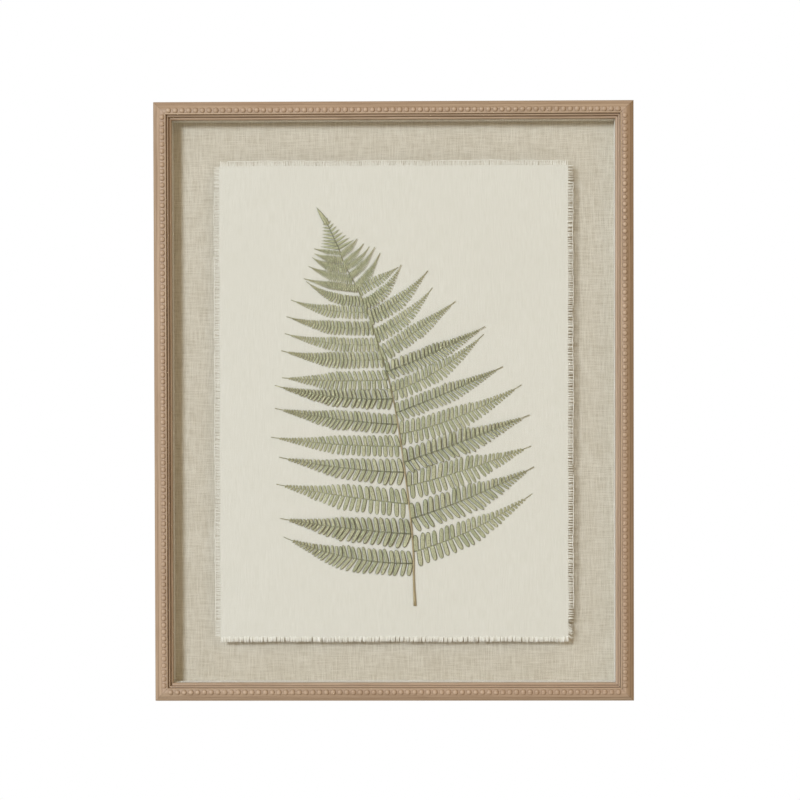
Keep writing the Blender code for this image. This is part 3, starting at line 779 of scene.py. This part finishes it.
def threadRows(side, length, reach, wide, chance):
    facing = {"left": math.pi, "right": 0.0, "top": math.pi / 2, "bottom": -math.pi / 2}[side]
    rows, along, tuftEnd = [], 0.4 - length, -length
    while along < length - 0.3:
        if along >= tuftEnd:
            along += fringe["tuftGap"][side] * chance.uniform(0.4, 1.6)
            tuftStart, tuftEnd = along, along + chance.uniform(*fringe["tuft"][side])
            tuftLean = chance.uniform(0.5, 1.4) * fringe["tuftLean"][side]
            tuftDrift = chance.uniform(-1.0, 1.0) * fringe["tuftDrift"][side]
        inTuft = (along - tuftStart) / (tuftEnd - tuftStart) * 2 - 1
        lean = -inTuft * tuftLean + tuftDrift + chance.uniform(-0.06, 0.06)
        loose = side == "right" and along < fringe["looseCorner"] - length
        if loose:
            lean -= chance.uniform(*fringe["looseLean"])
        spot = onSide(side, along, reach + edgeDrift(along, side) - fringe["rootInside"])
        depth = sheet["back"] + sheet["thickness"] * chance.uniform(0.4, 0.75) + sheetWave(*spot)
        long = (wide + fringe["rootInside"]) * chance.uniform(*fringe["length"])
        if chance.random() < fringe["brokenShare"]:
            long *= chance.uniform(*fringe["brokenLength"])
        radius = fringe["radius"][side] * chance.uniform(0.8, 1.15)
        heading = facing - lean if side == "left" else facing + lean
        turn = (chance.uniform(-0.3, 0.3), chance.uniform(-0.06, 0.05), heading)
        size = (long * mm, radius * mm, fringe["flatness"] * radius * mm)
        rows.append((Vector((*spot, depth)) * mm, turn, size, {"tone": chance.random()}))
        along += fringe["every"][side] * chance.uniform(0.75, 1.25)
        if loose and along >= fringe["looseCorner"] - length:
            along += fringe["looseGap"]
    return rows


def leftYarn(side, low, high, length, out, chance):
    steps = round((high - low) * length / fringe["yarnStep"])
    path = []
    for i in range(steps + 1):
        along = (low + (high - low) * i / steps) * length
        ripple = 0.16 * math.sin(along * 0.9 + sheet["edgeSeed"][side])
        spot = onSide(side, along, out + (edgeDrift(along, side) + ripple + chance.uniform(-0.12, 0.12)))
        path.append(Vector((*spot, sheet["back"] + sheet["thickness"] + sheetWave(*spot))) * mm)
    radii = [fringe["yarnRadius"] * (0.6 if i in (0, steps) else 1.0) * mm for i in range(steps + 1)]
    yarn = tube("leftYarn", path, radii, 5)
    setPointValue(yarn, "tone", [chance.random()] * len(yarn.data.vertices))
    return yarn


def addFringe(side, thread, finish):
    chance = random.Random("fringe " + side)
    name = "fringe" + side.capitalize()
    across, upright = (size / 2 for size in sheet["woven"])
    flatAcross, flatUpright = (size / 2 for size in sheet["flat"])
    if side in ("top", "bottom"):
        length, reach, wide = across, upright, flatUpright - upright
    else:
        length, reach, wide = upright, across, flatAcross - across
    rows = threadRows(side, length, reach, wide, chance)
    parts = [scattered(name, thread, rows, finish, 0.04, 3)]
    for low, high in fringe["yarns"][side]:
        parts.append(leftYarn(side, low, high, length, reach + wide * fringe["yarnPlace"], chance))
    return finishPiece(joined(name, parts), "sheet_linen", finish)


def fringeYarn():
    made, tree, shader = newMaterial("fringeYarn", 0.95, Sheen_Weight=0.2, Sheen_Roughness=0.5)
    twist = noiseOf(tree, objectSpot(tree), 2600.0)
    colour = mixed(tree, pointValue(tree, "tone"), *fringe["tones"])
    colour = mixed(tree, ranged(tree, twist, 0.45, 0.75, 0.0, 0.3), colour, fringe["twistTone"])
    coloured(tree, shader, colour)
    bumped(tree, shader, twist, 0.05 * mm)
    return made


linenSheet = addSheet()
thread = threadShape()
yarnFinish = fringeYarn()
fringes = [addFringe(side, thread, yarnFinish) for side in sides]
bpy.data.objects.remove(thread)
print("linen sheet with its fringe")


# The frond

frond = {
    "back": 18.5,  # depth of the lowest leaflets' back
    "levelStep": 0.5,
    "stemBottom": -173.5,
    "stemTop": 129.0,
    "stemWide": 1.5,
    "stemNarrowing": 0.7,
    "footFlare": 1.0,
    "flareLength": 12.0,
    "footThick": 1.9,
    "topThick": 0.8,
    "besideStem": 0.35,  # from the stem's side to a pinnule's end
    "overStem": 1.4,  # how far across the stem's middle a pinnule may reach, higher up
    "coveredAbove": 35.0,  # from this height up pinnules lie over the stem
    "smallReach": 4.2,  # below this a leaflet is a small one, with fused pinnules
    "largeReach": 7.2,
    "lowerWider": 0.16,
    "wideShare": 0.48,
    "bareTip": 0.07,  # share of a leaflet that is a bare tail
    "crowding": 0.4,  # how much closer pinnules stand near the tip
    "pinnuleDepth": 0.34,
    "pinnuleFill": 0.77,  # width over pitch near the stem
    "tipFill": 0.78,
    "edgeShadeAndRibDark": {"small": 0.65, "middling": 0.8, "large": 1.0},  # how strong the painted shade along the pinnules' edges is
    "mostLean": 1.25,
    "leanStep": 0.08,
    # How the pinnules lean to the tip, as the upper and the lower side's lean at the stem and growth from
    # there. Then how late the lower ones start, how far the painted edge shade fades, how dark and high the
    # midrib is
    "kinds": {
        "herringbone": {"lean": ((0.22, 0.30), (0.26, 0.42)), "late": 0.0, "fade": 0.3, "rib": (0.65, 0.36)},
        "small": {"lean": ((0.30, 0.25), (-0.05, 0.55)), "late": 0.0, "fade": 0.7, "rib": (0.35, 0.12)},
        "middling": {"lean": ((0.14, 0.30), (-0.08, 0.60)), "late": 0.0, "fade": 0.7, "rib": (0.35, 0.12)},
        "large": {"lean": ((0.26, 0.26), (-0.20, 0.80)), "late": 0.45, "fade": 0.7, "rib": (0.5, 0.12)},
    },
    "herringbone": {"left": (1, 2, 4, 6, 7), "right": (2, 4, 6, 8)},
    "ribStations": 26,
    # Middle of the stem as (x, height), from the foot up
    "route": [
        (17.5, -173.5), (16.5, -150.0), (16.2, -127.0), (13.8, -98.0), (9.6, -63.0),
        (3.8, -22.0), (-3.4, 15.0), (-11.7, 43.5), (-20.4, 71.0), (-31.5, 97.5),
        (-42.0, 117.0), (-46.2, 129.5), (-52.2, 142.5), (-58.5, 155.5), (-65.0, 166.0),
    ],
    # Height at the stem, tip, droop, reach near the stem and halfway, level it lies at, from the foot up
    "left": [
        (-137.5, -94.0, -115.0, 6.0, 11.0, 11.0, 1), (-112.5, -97.0, -99.0, 1.5, 12.5, 10.5, 2),
        (-87.0, -100.0, -70.0, 1.5, 12.5, 11.0, 0), (-60.0, -97.5, -47.0, 2.5, 12.0, 8.5, 1),
        (-38.0, -104.5, -30.0, 2.0, 9.5, 8.0, 0), (-19.5, -101.0, -5.5, 2.0, 8.5, 8.5, 1),
        (2.5, -101.0, 14.0, 4.0, 9.0, 7.5, 2), (18.5, -95.0, 20.5, 1.5, 8.5, 8.5, 0),
        (36.0, -95.5, 43.5, 3.5, 7.0, 7.0, 1), (48.5, -92.5, 58.0, 3.5, 6.0, 6.0, 0),
        (62.5, -91.0, 72.5, 3.5, 6.0, 6.0, 1), (76.0, -87.0, 86.5, 3.5, 5.5, 5.5, 0),
        (85.5, -74.0, 102.0, 5.0, 4.5, 4.5, 1), (96.0, -76.0, 104.5, 1.0, 3.5, 3.5, 2),
        (104.0, -72.0, 115.0, 2.0, 4.0, 4.0, 0), (113.0, -69.0, 122.5, 2.5, 4.0, 4.0, 1),
        (120.0, -67.0, 125.5, 1.0, 3.0, 3.0, 2), (126.0, -67.5, 130.0, 0.5, 2.0, 2.0, 0),
    ],
    "right": [
        (-127.5, 117.5, -78.5, 5.5, 13.5, 11.0, 0), (-99.5, 119.0, -55.5, 3.0, 12.5, 12.5, 1),
        (-72.0, 116.5, -38.0, 2.0, 12.0, 12.0, 0), (-51.5, 115.0, -11.5, 1.0, 11.0, 11.0, 2),
        (-27.5, 108.5, 14.0, 5.5, 10.5, 10.5, 0), (-9.5, 92.5, 29.5, 1.5, 8.5, 8.5, 1),
        (8.5, 76.5, 57.0, 6.5, 8.5, 8.5, 0), (25.5, 77.5, 63.5, 2.0, 8.0, 8.0, 2),
        (40.0, 52.5, 85.0, 1.0, 7.0, 7.0, 1), (56.0, 33.0, 96.5, 5.0, 6.5, 6.5, 0),
        (71.5, 29.0, 111.0, 5.5, 6.5, 6.5, 1), (83.0, 6.5, 116.0, 6.5, 5.0, 5.0, 2),
        (93.5, 4.0, 114.0, 0.0, 4.5, 4.5, 0), (98.0, -11.5, 126.0, 3.5, 3.4, 3.6, 1),
        (107.0, -16.0, 131.0, 3.0, 3.0, 3.2, 2), (114.0, -20.5, 131.5, 3.0, 2.5, 2.8, 0),
        (117.5, -25.5, 134.0, 1.5, 2.4, 2.6, 1), (124.5, -31.0, 138.0, 1.0, 2.6, 2.8, 2),
    ],
}


def stemX(height):  # the stem's middle at a height
    points = frond["route"]
    i = 0
    while i < len(points) - 2 and height > points[i + 1][1]:
        i += 1

    def slope(k):
        low, high = points[max(k - 1, 0)], points[min(k + 1, len(points) - 1)]
        return (high[0] - low[0]) / (high[1] - low[1])

    (x0, y0), (x1, y1) = points[i], points[i + 1]
    span = y1 - y0
    t = (height - y0) / span
    leave = t * (1 - t) * (1 - t) * span * slope(i)
    arrive = t * t * (t - 1) * span * slope(i + 1)
    return x0 + (x1 - x0) * t * t * (3 - 2 * t) + leave + arrive


def stemHalfWidth(height):
    fromFoot = height - frond["stemBottom"]
    up = min(fromFoot / (frond["stemTop"] - frond["stemBottom"]), 1.2)
    flare = frond["footFlare"] * math.exp(-fromFoot / frond["flareLength"])
    return (frond["stemWide"] - frond["stemNarrowing"] * up + flare) / 2


def pinnuleShape(name, outline):  # one pinnule along x, 1 long, 1 wide and 1 deep
    # Across it: place, height, how dark it is: painted shade at the edge, the vein's own colour in the middle
    edge, ridge, middle = (1.0, 0.30, 1.0), (0.62, 0.90, 0.12), (0.0, 0.66, 0.30)
    section = ((-edge[0], *edge[1:]), (-ridge[0], *ridge[1:]), middle, ridge, edge)
    vertices, faces, rim = [], [], []
    for t, half in outline:
        dome = 1.0 - 0.35 * t * t
        for across, lift, dark in section:
            vertices.append((t, across * half, lift * dome))
            # The last row and the side walls below carry painted shade.
            rim.append(max(dark, 0.9 if t == outline[-1][0] else 0.0))
    last = len(outline) - 1
    for i in range(last):
        for k in range(4):
            faces.append((5 * i + k, 5 * i + 5 + k, 5 * i + 6 + k, 5 * i + 1 + k))
    loop = [5 * i for i in range(last + 1)] + [5 * last + k for k in (1, 2, 3)]
    loop += [5 * i + 4 for i in range(last, -1, -1)] + [3, 2, 1]
    foot, count = len(vertices), len(loop)
    for k in loop:
        x, y, z = vertices[k]
        vertices.append((x * 0.985, y * 0.94, 0.0))
        rim.append(1.0)
    for k in range(count):
        m = (k + 1) % count
        faces.append((loop[k], loop[m], foot + m, foot + k))
    faces.append(tuple(range(foot, foot + count)))
    made = outward(meshObject(name, vertices, faces))
    setPointValue(made, "rim", rim)
    return made


# Each outline as its half width at shares of the length
oblong = pinnuleShape(
    "oblongPinnule",
    [
        (0.0, 0.40), (0.10, 0.46), (0.25, 0.49), (0.42, 0.47), (0.58, 0.49), (0.72, 0.46), (0.85, 0.41),
        (0.94, 0.30), (1.0, 0.12),
    ],
)
fused = pinnuleShape(
    "fusedPinnule",
    [
        (0.0, 0.56), (0.12, 0.56), (0.28, 0.54), (0.45, 0.52), (0.62, 0.48), (0.78, 0.42), (0.90, 0.31),
        (1.0, 0.10),
    ],
)
blade = pinnuleShape(
    "pointedBlade",
    [
        (0.0, 0.50), (0.08, 0.46), (0.14, 0.52), (0.22, 0.45), (0.29, 0.49), (0.37, 0.41), (0.44, 0.44),
        (0.53, 0.34), (0.60, 0.36), (0.70, 0.25), (0.77, 0.25), (0.88, 0.12), (1.0, 0.02),
    ],
)


def clearOfStem(root, forward, tilt, long, edge, sign):  # leans a pinnule until its end misses the stem
    while tilt < frond["mostLean"]:
        angle = forward + edge * sign * (math.pi / 2 - tilt)
        end = root + Vector((math.cos(angle), math.sin(angle))) * long
        covered = end.y >= frond["coveredAbove"]
        beside = -frond["overStem"] if covered else stemHalfWidth(end.y) + frond["besideStem"]
        clear = stemX(end.y) + sign * beside
        if (end.x - clear) * sign > 0:
            break
        tilt += frond["leanStep"]
    return tilt, angle


def pinnuleRows(leaflet, sign, grade, kind, chord, midrib, chance):
    base, tipX, tipY, droop, near, half, level = leaflet
    usable, crowding = 1 - frond["bareTip"], frond["crowding"]
    length = chord.length * usable

    def reach(s, edge):  # the lower side is the wider one towards the tip
        wide = near + (half - near) * min(s / 0.5, 1.0)
        share = frond["wideShare"]
        uneven = 1.0 - edge * frond["lowerWider"] * within(0.0, (s - 0.25) / 0.4, 1.0)
        return wide * uneven * (1.0 if s < share else ((1 - s) / (1 - share)) ** 1.2) + 0.2

    pitch = 1.8 if grade == "small" else 1.6 + 0.35 * near
    pairs = max(6, round(length * (1 + crowding) / pitch))
    rows = []
    for edge in (1, -1):  # 1 is the side that points up
        lean, growth = kind["lean"][0 if edge > 0 else 1]
        late = kind["late"] if edge < 0 else 0.0
        for k in range(pairs):
            x = (k + 0.35 + late) / pairs
            s = x * (1 + crowding * (1 - x)) * usable
            if s >= usable:
                continue
            gap = length * (1 + crowding * (1 - 2 * x)) / pairs
            way = (chord + Vector((0.0, -4 * droop * (1 - 2 * s)))).normalized()
            tilt = lean + growth * s + chance.uniform(-0.07, 0.07)
            long = reach(s, edge) / math.cos(tilt) * chance.uniform(0.93, 1.03)
            root = midrib(s)
            tilt, angle = clearOfStem(root, math.atan2(way.y, way.x), tilt, long, edge, sign)
            fill = frond["pinnuleFill"] + (frond["tipFill"] - frond["pinnuleFill"]) * s
            wide = gap * fill * math.cos(tilt) * chance.uniform(0.92, 1.06)
            floor = frond["back"] + level * frond["levelStep"]
            depth = floor + (0.10 if edge > 0 else 0.0) + 0.03 * (k % 2)
            # How strong this pinnule's painted edge shade is, fading towards the tip.
            edgeShadeAndRibDark = frond["edgeShadeAndRibDark"][grade] * (1.12 - kind["fade"] * s)
            values = {"tone": chance.random(), "tipward": s, "edgeShadeAndRibDark": edgeShadeAndRibDark}
            size = (long * mm, wide * mm, frond["pinnuleDepth"] * mm)
            rows.append((Vector((root.x, root.y, depth)) * mm, (0.0, 0.0, angle), size, values))
    return rows


def addLeaflet(side, number, leaflet):  # pinnules and midrib of one leaflet, joined
    sign = -1 if side == "left" else 1
    base, tipX, tipY, droop, near, half, level = leaflet
    start = Vector((stemX(base) + sign * (stemHalfWidth(base) * 0.5), base))
    chord = Vector((tipX, tipY)) - start

    def midrib(s):
        return start + chord * s + Vector((0.0, -4 * droop * s * (1 - s)))

    grade = "small" if near < frond["smallReach"] else "large" if near > frond["largeReach"] else "middling"
    kind = frond["kinds"]["herringbone" if number in frond["herringbone"][side] else grade]
    rows = pinnuleRows(leaflet, sign, grade, kind, chord, midrib, random.Random(f"{side} {number}"))
    name = f"frondLeaflet{side.capitalize()}{number:02d}"
    leaf = scattered(name, fused if grade == "small" else oblong, rows, driedLeaf, 0.035, len(rows))

    ribDark, ribHigh = kind["rib"]
    depth = frond["back"] + level * frond["levelStep"] + ribHigh
    stations = [i / frond["ribStations"] for i in range(frond["ribStations"] + 1)]
    path = [Vector((*midrib(s), depth)) * mm for s in stations]
    radii = [(0.32 + 0.025 * min(near, 9.0) * (1 - s)) * mm for s in stations]
    rib = tube(name + "Rib", path, radii, 6, 0.6)
    shares = [s for s in stations for k in range(6)]
    setPointValue(rib, "rim", [ribDark] * len(shares))
    setPointValue(rib, "tone", [0.4] * len(shares))
    setPointValue(rib, "tipward", shares)
    setPointValue(rib, "edgeShadeAndRibDark", [1.0 - 0.75 * s for s in shares])
    finishPiece(joined(name, [leaf, rib]), "dried_leaf", driedLeaf, f"leaflet_{side}_{number:02d}")


leafTones = {
    "green": (srgb(164, 168, 131), srgb(189, 189, 153)),
    # Over it, one after the other: tone, where it starts, where it is at its strongest, share there
    "cool": (srgb(150, 158, 126), 0.48, 0.72, 0.5),
    "brown": (srgb(154, 144, 106), 0.6, 1.0, 0.6),
    "speck": (srgb(102, 107, 78), 0.50, 0.64, 0.7),
    # The dark of the midribs and rachis, also used as painted shade along the pinnules' margins.
    "edge": srgb(70, 77, 54),
    "stalk": (srgb(160, 142, 104), srgb(186, 170, 132)),
    "darkStalk": srgb(108, 110, 78),
}


def driedLeafFinish():
    made, tree, shader = newMaterial("driedLeaf", 0.7, Sheen_Weight=0.05)
    spot = objectSpot(tree)
    speck = noiseOf(tree, spot, 1050.0, 2.0, 0.7)
    mottle = noiseOf(tree, spot, 240.0, 3.0)
    cell = noiseOf(tree, spot, 700.0)
    colour = mixed(tree, pointValue(tree, "tone"), *leafTones["green"])
    for name, mask in (("cool", mottle), ("brown", pointValue(tree, "tipward")), ("speck", speck)):
        tone, start, full, share = leafTones[name]
        colour = mixed(tree, ranged(tree, mask, start, full, 0.0, share), colour, tone)
    # Darker towards the rims: the ribs' own dark colour, and painted shade along the pinnules' margins and
    # ends.
    edge = sumOf(tree, "MULTIPLY_ADD", cell, 0.30, pointValue(tree, "rim"))
    edge = sumOf(tree, "MULTIPLY", ranged(tree, edge, 0.36, 0.84, 0.0, 0.9), pointValue(tree, "edgeShadeAndRibDark"))
    coloured(tree, shader, mixed(tree, edge, colour, leafTones["edge"]))
    bumped(tree, shader, sumOf(tree, "MULTIPLY_ADD", cell, 2.0, speck), 0.06 * mm, 0.6)
    return made


def driedStemFinish():
    made, tree, shader = newMaterial("driedStem", 0.6)
    fibre = noiseOf(tree, stretched(tree, objectSpot(tree), (2200.0, 2200.0, 60.0)), 1.0)
    colour = mixed(tree, ranged(tree, fibre, 0.35, 0.65), *leafTones["stalk"])
    dark = sumOf(tree, "MULTIPLY", pointValue(tree, "stalkDarkening"), 0.85)
    coloured(tree, shader, mixed(tree, dark, colour, leafTones["darkStalk"]))
    bumped(tree, shader, fibre, 0.08 * mm)
    return made


def addStem():
    stations, around = 64, 12
    path, radii, thicks = [], [], []
    for i in range(stations + 1):
        up = i / stations
        height = frond["stemBottom"] + (frond["stemTop"] - frond["stemBottom"]) * up
        thicks.append(frond["footThick"] + (frond["topThick"] - frond["footThick"]) * up)
        path.append(Vector((stemX(height), height, frond["back"] + thicks[i] / 2)) * mm)
        radii.append(stemHalfWidth(height) * mm)
    vertices = tubeRings(path, radii, around)
    stalkDarkening = []
    for i in range(stations + 1):
        for k in range(around):
            front = math.sin(2 * math.pi * k / around)
            inGroove = max(0.0, front - 0.9) * 10  # along the front of the stalk
            spot = vertices[i * around + k]
            lift = (spot.z - path[i].z) * thicks[i] / 2 * mm / radii[i]
            spot.z = path[i].z + lift * (1 - 0.30 * inGroove)
            upper = within(0.0, (i / stations - 0.50) / 0.15, 1.0)  # the upper stalk dried dark
            # Darker along the front groove, along the flanks and underside, and all round on the upper stalk.
            stalkDarkening.append(max(0.8 * inGroove + (0.5 if front < 0.3 else 0.0), upper))
    piece = outward(meshObject("frondStem", vertices, ringFaces(stations + 1, around)))
    setPointValue(piece, "stalkDarkening", stalkDarkening)
    finishPiece(piece, "dried_stem", driedStemFinish(), "stem")


# The tip's lobes: heights of the first and last, how many, then on each side their first and last reach
# with an ease, and how far the first and last point up
tip = {
    "heights": (130.3, 153.3),
    "lobes": 9,
    "left": ((15.5, 3.0, 0.85), (4.0, 4.0)),
    "right": ((14.5, 3.3, 0.7), (29.0, 59.0)),
    "lobeWidths": (2.7, 1.5),
    "crown": (-65.0, 165.0),
    "crownWidth": 4.4,
    "belowCrown": 2.5,
    "lobeDepth": 0.42,
    "rachis": (129, 159),
}


def addFrondTip():
    low, high = tip["heights"]
    rows = []

    def lobe(height, angle, long, wide, depth, share):
        spot = Vector((stemX(height), height, frond["back"] + depth)) * mm
        # The lobes carry painted shade along their edges too.
        values = {"tone": 0.3 + 0.4 * share, "tipward": 0.35 + 0.3 * share, "edgeShadeAndRibDark": 0.55}
        rows.append((spot, (0.0, 0.0, angle), (long * mm, wide * mm, tip["lobeDepth"] * mm), values))

    for side in ("left", "right"):
        (first, last, ease), rises = tip[side]
        lowRise, highRise = (math.radians(v) for v in rises)
        for k in range(tip["lobes"]):
            share = k / (tip["lobes"] - 1)
            reach = first + (last - first) * share**ease
            rise = lowRise + (highRise - lowRise) * share**2
            wide = tip["lobeWidths"][0] + (tip["lobeWidths"][1] - tip["lobeWidths"][0]) * share
            angle = math.pi - rise if side == "left" else rise
            lobe(low + (high - low) * share, angle, reach, wide, 0.04 * (k % 2), share)
    neck = high - tip["belowCrown"]
    crown = Vector(tip["crown"]) - Vector((stemX(neck), neck))
    lobe(neck, math.atan2(crown.y, crown.x), crown.length, tip["crownWidth"], 0.06, 1.0)
    blades = scattered("lobes", blade, rows, driedLeaf, 0.02, 5)

    path = [Vector((stemX(h), h, frond["back"] + 0.38)) * mm for h in range(*tip["rachis"], 2)]
    rachis = tube("upperRachis", path, [(0.55 - 0.025 * i) * mm for i in range(len(path))], 6, 0.7)
    for key, value in (("rim", 0.85), ("tone", 0.6), ("tipward", 0.5), ("edgeShadeAndRibDark", 0.8)):
        setPointValue(rachis, key, [value] * len(rachis.data.vertices))
    finishPiece(joined("frondTip", [blades, rachis]), "dried_leaf", driedLeaf, "frond_tip")


driedLeaf = driedLeafFinish()
addStem()
for side in ("left", "right"):
    for number, leaflet in enumerate(frond[side], 1):
        addLeaflet(side, number, leaflet)
addFrondTip()
for shape in (oblong, fused, blade):
    bpy.data.objects.remove(shape)
print("frond: stem, 36 leaflets and the tip")


# Behind the frame

back = {
    "cockle": 0.168,
    "gluedEdge": 11.0,
    "easeIn": 22.0,  # from the glued edge to where the paper waves fully
    "cells": (60, 76),
    "bridge": 13.4,  # half the length of the hanger's raised middle
    "bend": 1.6,
    "lift": 1.2,
    "plate": 0.8,
    "teeth": 11,
    "toothDepth": 1.1,
    "hangerBevel": 0.18,
    # Turned pieces from front to rear: radius, the end it is counted from (1 front, 0 rear), depth from there
    "nail": [
        (0.28, 1, 0.0), (0.70, 1, -1.5), (0.70, 0, 0.75), (1.75, 0, 0.72), (1.80, 0, 0.5), (1.62, 0, 0.22),
        (1.15, 0, 0.06), (0.5, 0, 0.0),
    ],
    "bumper": [
        (3.95, 1, 0.0), (4.0, 1, -0.3), (4.0, 0, 0.9), (3.85, 0, 0.4), (3.5, 0, 0.1), (3.0, 0, 0.0),
    ],
}


def kraftPaper():
    made, tree, shader = newMaterial("kraftPaper", 0.85)
    spot = objectSpot(tree)
    fibre = noiseOf(tree, stretched(tree, spot, (900.0, 900.0, 220.0)), 1.0, 4.0, 0.7)
    line = noiseOf(tree, stretched(tree, spot, (300.0, 300.0, 6.0)), 1.0, 1.0)
    cloud = noiseOf(tree, spot, 18.0, 3.0)
    colour = mixed(tree, ranged(tree, fibre, 0.3, 0.7), srgb(160, 126, 88), srgb(188, 154, 114))
    colour = mixed(tree, ranged(tree, line, 0.4, 0.6, 0.0, 0.25), colour, srgb(172, 138, 100))
    coloured(tree, shader, mixed(tree, ranged(tree, cloud, 0.35, 0.7, 0.0, 0.4), colour, srgb(170, 134, 94)))
    bumped(tree, shader, fibre, 0.05 * mm)
    return made


def brassPlate():
    made, tree, shader = newMaterial("brassPlatedSteel", 0.32, Metallic=1.0)
    spot = objectSpot(tree)
    scratch = noiseOf(tree, stretched(tree, spot, (300.0, 300.0, 4000.0)), 1.0)
    stain = ranged(tree, noiseOf(tree, spot, 220.0, 3.0), 0.4, 0.7)
    coloured(tree, shader, mixed(tree, stain, srgb(214, 190, 138), srgb(176, 148, 100)))
    tree.links.new(ranged(tree, scratch, 0.3, 0.7, 0.26, 0.44), shader.inputs["Roughness"])
    return made


def plainBoard(name, pale, deep, scale, roughness):
    made, tree, shader = newMaterial(name, roughness)
    grain = noiseOf(tree, objectSpot(tree), scale, 4.0, 0.7)
    coloured(tree, shader, mixed(tree, ranged(tree, grain, 0.3, 0.7), deep, pale))
    bumped(tree, shader, grain, 0.05 * mm)
    return made


def addDustCover():
    middle, low, high = lyingBox("dust_cover")

    def spot(u, v, layer):
        x, y = low.x + (high.x - low.x) * u, low.y + (high.y - low.y) * v
        rim = min(x - low.x, high.x - x, y - low.y, high.y - y)
        free = within(0.0, (rim - back["gluedEdge"]) / back["easeIn"], 1.0)
        wave = math.sin(x * 0.043 + 0.7) * math.sin(y * 0.031 + 0.3) + 0.6 * math.sin(x * 0.019 - y * 0.057)
        return x, y, (low.z, high.z)[layer] - free * back["cockle"] * wave

    finishPiece(slab("paperDustCover", back["cells"], spot), "kraft_paper", kraftPaper(), "dust_cover")


def addHanger(metal):
    middle, low, high = lyingBox("sawtooth_hanger")
    bridge, foot = back["bridge"], -back["bridge"] - back["bend"]
    # Along the plate: x, how far it rises from the wood, how deep its lower edge is cut
    stations = [(low.x, 0.0, 0.6), (low.x + 0.5, 0.0, 0.15), (low.x + 1.2, 0.0, 0.0), (foot, 0.0, 0.0)]
    stations += [(foot + back["bend"] / 2, back["lift"] / 2, 0.0)]
    for k in range(2 * back["teeth"] + 1):
        x = -bridge + bridge * k / back["teeth"]
        stations.append((x, back["lift"], back["toothDepth"] * (k % 2)))
    stations += [(-x, rise, notch) for x, rise, notch in stations[:5][::-1]]
    vertices = []
    for x, rise, notch in stations:
        near, far = high.z - rise, high.z - rise - back["plate"]
        bottom = low.y + notch
        top = high.y - (notch if abs(x) > -foot else 0.0)  # the teeth cut the lower edge alone
        corners = ((bottom, near), (top, near), (top, far), (bottom, far))
        vertices += [Vector((x, y, z)) * mm for y, z in corners]
    piece = outward(meshObject("sawtoothHanger", vertices, ringFaces(len(stations), 4), smooth=False))
    bevel = piece.modifiers.new("softEdges", "BEVEL")
    bevel.width = back["hangerBevel"] * mm
    bevel.segments = 2
    bevel.limit_method = "ANGLE"
    graph = bpy.context.evaluated_depsgraph_get()
    piece.data = bpy.data.meshes.new_from_object(piece.evaluated_get(graph), depsgraph=graph)
    piece.modifiers.clear()
    finishPiece(piece, "hanger_metal", metal, "sawtooth_hanger")


def addTurned(name, node, slot, material, profile, around):  # its axis is the frame's depth
    middle, low, high = lyingBox(node)
    vertices = []
    for radius, end, offset in profile:
        depth = (low.z, high.z)[end] + offset
        for k in range(around):
            turn = 2 * math.pi * k / around
            x, y = middle.x + radius * math.cos(turn), middle.y + radius * math.sin(turn)
            vertices.append(Vector((x, y, depth)) * mm)
    piece = outward(meshObject(name, vertices, ringFaces(len(profile), around), sharpAngle=50))
    finishPiece(piece, slot, material, node)


addDustCover()
plate = brassPlate()
rubber = plainBoard("softRubber", srgb(214, 212, 205), srgb(198, 195, 187), 900.0, 0.55)
addHanger(plate)
for side in ("left", "right"):
    end = side.capitalize()
    addTurned("hangerNail" + end, "hanger_nail_" + side, "hanger_metal", plate, back["nail"], 24)
    addTurned("wallBumper" + end, "bumper_" + side, "bumper_rubber", rubber, back["bumper"], 40)
paint(plainBoard("foamBoard", srgb(240, 238, 232), srgb(226, 223, 215), 600.0, 0.8), "riser_board")
paint(plainBoard("pressedFibreboard", srgb(158, 128, 95), srgb(132, 103, 72), 800.0, 0.8), "back_board")
print("paper back, hanger, nails and bumpers")
